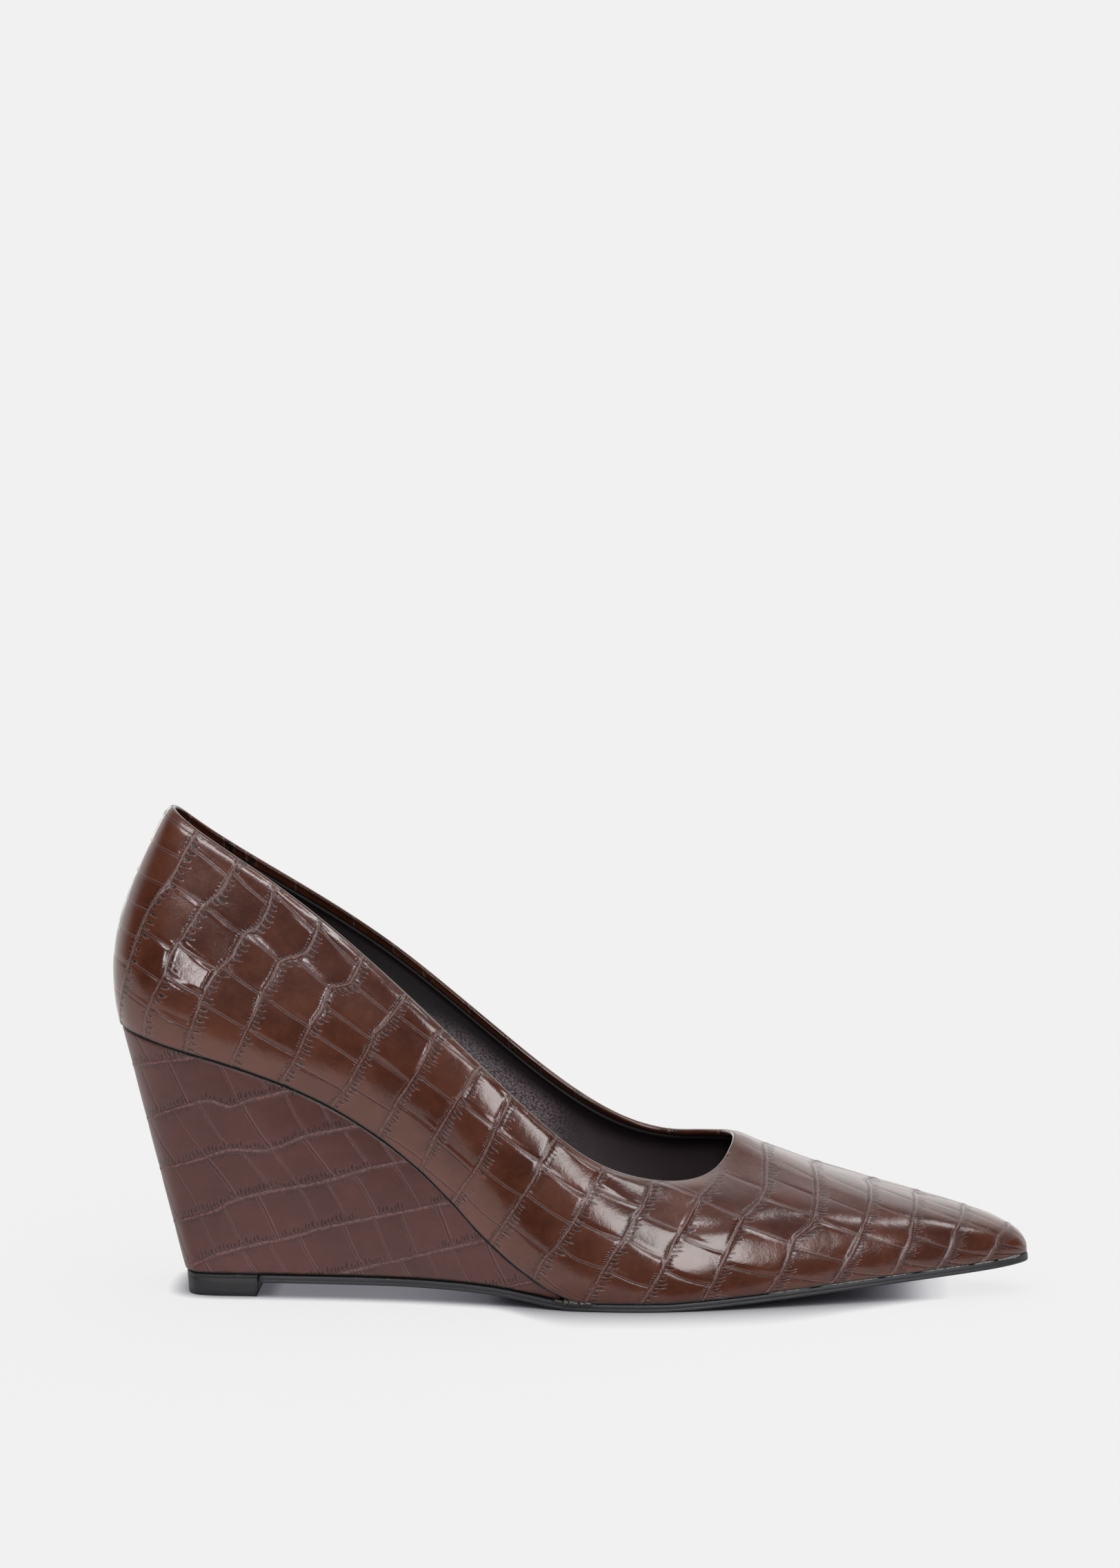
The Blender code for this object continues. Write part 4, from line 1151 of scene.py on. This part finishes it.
def build_wedge():
    lateral, _ = lasted_outline(-WEDGE_INSET, 1600)
    u = np.linspace(0.0, 1.0, WEDGE_COLUMNS)
    u = 0.45 * u**2 + 0.55 * u
    top_x = lateral[0, 0] + (WEDGE_FRONT_X - lateral[0, 0]) * (u * (1 - np.exp(-u / 0.012)) )
    top_lat, top_med = sides(-WEDGE_INSET, top_x)
    top_lat[0] = top_med[0] = 0.0
    reach = (top_x - top_x[0]) / (WEDGE_FRONT_X - top_x[0])
    foot_x = WEDGE_FOOT[0][0] + (WEDGE_FRONT_X - WEDGE_FOOT[0][0]) * reach
    foot_lat, foot_med = -monotone(WEDGE_FOOT, 1, foot_x), monotone(WEDGE_FOOT, 2, foot_x)
    top_z, foot_z = sole_height(top_x) - 1.2 * FIT_GAP, outsole_height(foot_x) + FIT_GAP
    part = np.linspace(0.0, 1.0, WEDGE_LINES)[None, :, None]
    halves = []
    for top_y, foot_y in ((top_lat, foot_lat), (top_med, foot_med)):
        top, foot = np.c_[top_x, top_y, top_z][:, None, :], np.c_[foot_x, foot_y, foot_z][:, None, :]
        halves.append(top + part * (foot - top))
    grid = np.concatenate([halves[0], halves[1][1:][::-1]])
    count_u, count_v = grid.shape[:2]
    n = WEDGE_COLUMNS
    # distance round from the back, the same on both sides
    mid = grid[:, count_v // 2]
    step = np.linalg.norm(np.diff(mid, axis=0), axis=1)
    arc = np.r_[0.0, np.cumsum(step)]
    total = arc[-1] + np.linalg.norm(mid[0] - mid[-1])
    arc = np.where(np.arange(count_u) < n, arc, total - arc)[:, None] * np.ones((1, count_v))
    lat_side = (np.arange(count_u) < n)[:, None] * np.ones((1, count_v), bool)
    z = grid[..., 2]
    places = columns_at(WEDGE_CORDS, WEDGE_AT, arc)
    places = places + np.where(lat_side, 0.0, 2.2 * smooth(4.0, 30.0, arc) + 0.7 * np.sin(arc / 6.0) * smooth(4.0, 30.0, arc))[None]
    belt = count_between(places, z, 1)
    level = (arc + 0.42 * z + 1.2 * np.sin(z / 6.0)) / 11.0
    index = np.floor(belt)
    row = level + 0.4 * jitter(index, np.zeros_like(index), 3.0) + 4.0 + 0.16 * np.sin(1.9 * level + 2.0 * index)
    belt_mm = 1.0 / np.maximum(gradient_mm(grid, belt), 1 / 25.0)
    row_mm = 1.0 / np.maximum(gradient_mm(grid, level), 1 / 40.0)
    relief = 0.7 * scale_relief(belt, belt_mm, row, row_mm)
    tall = np.linalg.norm(grid[:, 0] - grid[:, -1], axis=1)[:, None]
    down = np.linspace(0.0, 1.0, count_v)[None, :] * tall
    relief = relief * smooth(0.0, 1.5, down) * smooth(0.0, 1.5, tall - down) * smooth(0.0, 3.0, tall - 1.0)
    du = np.roll(grid, -1, 0) - np.roll(grid, 1, 0)
    dv = np.gradient(grid, axis=1)
    normal = np.cross(dv, du)
    normal /= np.maximum(np.linalg.norm(normal, axis=2)[..., None], 1e-9)
    if (normal[n // 2, count_v // 2, 1]) > 0:
        normal = -normal
    # the cover turns in softly at its top and foot
    turn = 0.36 * (smooth(0.9, 0.0, down) ** 2 + smooth(0.7, 0.0, tall - down) ** 2)
    grid = grid + normal * (relief - turn * smooth(0.0, 4.0, tall))[..., None]
    faces, a, b = grid_faces(count_u, count_v, True, False)
    f = faces[(n // 2) * (count_v - 1) + count_v // 2]
    points = grid.reshape(-1, 3)
    turned = np.dot(np.cross(points[f[1]] - points[f[0]], points[f[2]] - points[f[0]]), normal[n // 2, count_v // 2]) < 0
    lengths = np.linalg.norm(np.diff(grid[: n // 2], axis=1), axis=2).mean(0)
    ring_mid = np.concatenate([mid, mid[:1]])
    u_at = np.r_[0.0, np.cumsum(np.linalg.norm(np.diff(ring_mid, axis=0), axis=1))]
    uv = strip_uv(a, b, count_u, count_v, np.r_[0.0, np.cumsum(lengths)], 2, u_at)
    side_faces = faces.tolist()
    if turned:
        side_faces, uv = [g[::-1] for g in side_faces], uv[:, ::-1]
    corners = uv.reshape(-1, 2)
    caps = []
    for j, flip in ((0, False), (count_v - 1, True)):
        for i in range(n - 1):
            near0, near1 = i * count_v + j, (i + 1) * count_v + j
            far0 = near0 if i == 0 else (count_u - i) * count_v + j
            far1 = (count_u - i - 1) * count_v + j
            quad = [near0, near1, far1, far0] if i else [near0, near1, far1]
            caps.append(quad if flip != turned else quad[::-1])
    extra = np.full((sum(len(c) for c in caps), 2), 0.002)
    item = make_object(
        "wedge_cover", points, side_faces + caps, WEDGE_LEATHER,
        {"belt": belt, "belt_mm": belt_mm, "row": row, "row_mm": row_mm, "along": arc, "edge": np.minimum(down, tall - down)},
        None, np.r_[corners, extra], flat=np.arange(len(side_faces), len(side_faces) + len(caps)),
    )
    work = bmesh.new()
    work.from_mesh(item.data)
    bmesh.ops.recalc_face_normals(work, faces=work.faces[:])
    work.to_mesh(item.data)
    work.free()
    return item


place(build_wedge(), "wedge_heel")


# ---------------------------------------------------------------------------
# Cement squeezed out of the sole's joint.
# ---------------------------------------------------------------------------
def build_bead(name, start, end, radius, side, material, seed, lumps=0.35):
    """Lumpy tapered bead along the top edge of the outsole, from x to x."""
    count, around = max(16, int((end - start) / 0.35)), 10
    x = np.linspace(start, end, count)
    lateral, medial = sides(OUTSOLE_WELT - 0.22, x)
    y = lateral if side < 0 else medial
    path = np.c_[x, y, outsole_height(x) + 0.10]
    along = np.gradient(path, axis=0)
    along /= np.linalg.norm(along, axis=1)[:, None]
    across = np.cross(along, (0.0, 0.0, 1.0))
    across /= np.linalg.norm(across, axis=1)[:, None]
    up = np.cross(across, along)
    share = np.linspace(0.0, 1.0, count)
    size = radius * np.sqrt(np.clip(4 * share * (1 - share), 0.02, 1.0))
    size = size * (1 + lumps * np.sin(2.1 * x + seed) * np.sin(0.83 * x + 2 * seed) + 0.5 * lumps * np.sin(4.7 * x + 3 * seed))
    turn = np.linspace(0.0, 2 * math.pi, around, endpoint=False)
    ring_points = path[:, None, :] + size[:, None, None] * (
        1.15 * np.cos(turn)[None, :, None] * across[:, None, :] + 0.9 * np.sin(turn)[None, :, None] * up[:, None, :]
    )
    faces, _, _ = grid_faces(count, around, False, True)
    points = ring_points.reshape(-1, 3)
    faces = faces.tolist() + [list(range(around)), [(count - 1) * around + k for k in range(around)]]
    item = make_object(name, points, faces, material)
    work = bmesh.new()
    work.from_mesh(item.data)
    bmesh.ops.recalc_face_normals(work, faces=work.faces[:])
    work.to_mesh(item.data)
    work.free()
    return place(item, None)


build_bead("cement_front_lateral", 119.5, 131.0, 0.85, -1, DARK_CEMENT, 0.4)
build_bead("cement_front_medial", 121.0, 130.0, 0.60, 1, DARK_CEMENT, 1.3)
for number, (start, end, radius) in enumerate(
    ((176.0, 187.0, 0.16), (189.5, 205.0, 0.20), (206.5, 214.0, 0.15), (216.0, 229.0, 0.22), (230.0, 235.5, 0.30), (236.5, 242.5, 0.42))
):
    build_bead("cement_line_%d" % (number + 1), start, end, radius, -1, PALE_CEMENT, 0.9 * number)


# ---------------------------------------------------------------------------
# Floor, light and camera
# ---------------------------------------------------------------------------
def build_floor():
    mesh = bpy.data.meshes.new("floor")
    r = 60.0
    mesh.from_pydata([(-2 * r, -r, 0), (2 * r, -r, 0), (0, 3 * r, 0)], [], [(0, 1, 2)])
    item = bpy.data.objects.new("floor", mesh)
    bpy.context.scene.collection.objects.link(item)
    material = bpy.data.materials.new("floor_paper")
    material.use_nodes = True
    shader = material.node_tree.nodes["Principled BSDF"]
    shader.inputs["Base Color"].default_value = (0.110, 0.110, 0.100, 1.0)
    shader.inputs["Roughness"].default_value = 1.0
    shader.inputs["Specular IOR Level"].default_value = 0.0
    shader.inputs["Emission Strength"].default_value = 1.0
    tree = material.node_tree
    # painted shadow: the floor's even glow is cut by an ambient-occlusion term near the shoe, reaching further under
    # the ball
    near = tree.nodes.new("ShaderNodeAmbientOcclusion")
    near.samples = 8
    place_x = tree.nodes.new("ShaderNodeSeparateXYZ")
    tree.links.new(tree.nodes.new("ShaderNodeTexCoord").outputs["Object"], place_x.inputs[0])
    along = Val(tree, place_x.outputs[0])
    reach = along.step(-0.022, 0.004) * along.step(0.048, 0.096, out=(1.0, 0.0)) * 0.017 + 0.0060
    tree.links.new(reach.socket, near.inputs["Distance"])
    open_share = Val(tree, near.outputs["AO"])
    tint = tree.nodes.new("ShaderNodeCombineXYZ")
    # painted shadow tint: blue falls off less than red and green, so the painted shade turns bluish
    for k, (power, level) in enumerate(((1.70, 0.770), (1.72, 0.770), (1.61, 0.780))):
        tree.links.new((open_share.power(power) * level).socket, tint.inputs[k])
    tree.links.new(tint.outputs[0], shader.inputs["Emission Color"])
    mesh.materials.append(material)


def build_flag():
    """Dark floor beyond the paper: only mirrored in glossy surfaces."""
    mesh = bpy.data.meshes.new("flag")
    mesh.from_pydata(
        [(-60, -60, 0.0004), (60, -60, 0.0004), (60, -0.038, 0.0004), (0.11, -0.038, 0.0004), (0.03, -0.044, 0.0004), (-0.04, -0.085, 0.0004), (-0.11, -0.17, 0.0004), (-0.20, -0.31, 0.0004),
         (-60, -0.31, 0.0004)],
        [], [(0, 1, 2, 3, 4, 5, 6, 7, 8)],
    )
    item = bpy.data.objects.new("flag", mesh)
    bpy.context.scene.collection.objects.link(item)
    material = bpy.data.materials.new("flag_cloth")
    material.use_nodes = True
    shader = material.node_tree.nodes["Principled BSDF"]
    shader.inputs["Base Color"].default_value = (0.03, 0.03, 0.03, 1.0)
    shader.inputs["Roughness"].default_value = 1.0
    shader.inputs["Specular IOR Level"].default_value = 0.0
    mesh.materials.append(material)
    item.visible_camera = item.visible_diffuse = item.visible_shadow = item.visible_transmission = False


def build_world():
    """White studio: soft light, most of it from above, with a dark room mirrored on the camera's side."""
    world = bpy.data.worlds.new("studio")
    bpy.context.scene.world = world
    world.use_nodes = True
    tree = world.node_tree
    tree.nodes.clear()
    out = tree.nodes.new("ShaderNodeOutputWorld")
    shade = tree.nodes.new("ShaderNodeBackground")
    tree.links.new(shade.outputs[0], out.inputs[0])
    coord = tree.nodes.new("ShaderNodeTexCoord")
    split = tree.nodes.new("ShaderNodeSeparateXYZ")
    tree.links.new(coord.outputs["Generated"], split.inputs[0])
    x, y, z = (Val(tree, split.outputs[k]) for k in range(3))
    behind = y.step(0.10, 0.70) * x.step(-0.10, 0.30, out=(0.65, 1.0))
    above = z.step(0.50, 0.90)
    light = 0.055 + behind * 1.35 + above * 0.42
    dome = z.maximum(0.0).power(3.0) * 1.5 + y * y * 1.2 + 0.10
    grey, even = tree.nodes.new("ShaderNodeCombineXYZ"), tree.nodes.new("ShaderNodeCombineXYZ")
    for k in range(3):
        tree.links.new(light.socket, grey.inputs[k])
        tree.links.new(dome.socket, even.inputs[k])
    ray = tree.nodes.new("ShaderNodeLightPath")
    pick = tree.nodes.new("ShaderNodeMix")
    pick.data_type = "RGBA"
    tree.links.new(ray.outputs["Is Glossy Ray"], pick.inputs["Factor"])
    tree.links.new(even.outputs[0], pick.inputs[6])
    tree.links.new(grey.outputs[0], pick.inputs[7])
    seen = tree.nodes.new("ShaderNodeMix")
    seen.data_type = "RGBA"
    tree.links.new(ray.outputs["Is Camera Ray"], seen.inputs["Factor"])
    tree.links.new(pick.outputs[2], seen.inputs[6])
    seen.inputs[7].default_value = (0.88, 0.88, 0.88, 1.0)
    tree.links.new(seen.outputs[2], shade.inputs["Color"])


def soft_box(name, azimuth, elevation, distance, width, height, power, aim=(0.0, 0.0, 0.04), colour=(1, 1, 1)):
    """Area light round the shoe: azimuth 0 is the camera's side, positive towards the toe."""
    data = bpy.data.lights.new(name, "AREA")
    data.shape, data.size, data.size_y = "RECTANGLE", width, height
    data.energy, data.color = power, colour
    item = bpy.data.objects.new(name, data)
    a, e = math.radians(azimuth), math.radians(elevation)
    direction = Vector((math.sin(a) * math.cos(e), -math.cos(a) * math.cos(e), math.sin(e)))
    item.location = Vector(aim) + direction * distance
    item.rotation_euler = direction.to_track_quat("Z", "Y").to_euler()
    item.visible_diffuse = False
    bpy.context.scene.collection.objects.link(item)
    return item


def light_only(light, pieces):
    """Keeps a light to some pieces."""
    group = bpy.data.collections.new(light.name + "_lit")
    for piece in pieces:
        group.objects.link(piece)
    light.light_linking.receiver_collection = group


def build_camera():
    data = bpy.data.cameras.new("camera")
    data.sensor_fit, data.sensor_width = "AUTO", 36.0
    data.lens = 9265.0 / 2273.0 * 36.0
    data.clip_start, data.clip_end = 0.05, 60.0
    item = bpy.data.objects.new("camera", data)
    tilt, turn = math.radians(6.4), math.radians(2.6)
    back = Vector((math.sin(turn) * math.cos(tilt), -math.cos(turn) * math.cos(tilt), math.sin(tilt)))
    right = Vector((math.cos(turn), math.sin(turn), 0.0))
    up = back.cross(right)
    basis = Matrix((right, up, back)).transposed().to_4x4()
    basis.translation = Vector((0.073196, -1.678911, 0.323113))
    item.matrix_world = basis
    bpy.context.scene.collection.objects.link(item)
    bpy.context.scene.camera = item


build_floor()
build_world()
build_flag()
soft_box("key_box", 24.0, 16.0, 2.2, 0.85, 1.40, 30.0)
soft_box("heel_box", -27.0, 20.0, 2.2, 0.38, 0.54, 9.0, colour=(1.0, 0.97, 1.0))
soft_box("top_box", -8.0, 58.0, 2.2, 1.50, 0.42, 22.0)
soft_box("rim_box", -158.0, 10.0, 2.2, 0.45, 0.90, 1.5)
soft_box("throat_box", 80.0, 55.0, 2.2, 0.55, 0.50, 6.0)
inner_box = soft_box("inner_box", 2.0, 14.0, 2.2, 0.60, 0.50, 33.0)
inner_box.visible_diffuse, inner_box.visible_glossy = True, False
light_only(inner_box, [lining])
build_camera()
bpy.context.scene.view_settings.view_transform = "Standard"
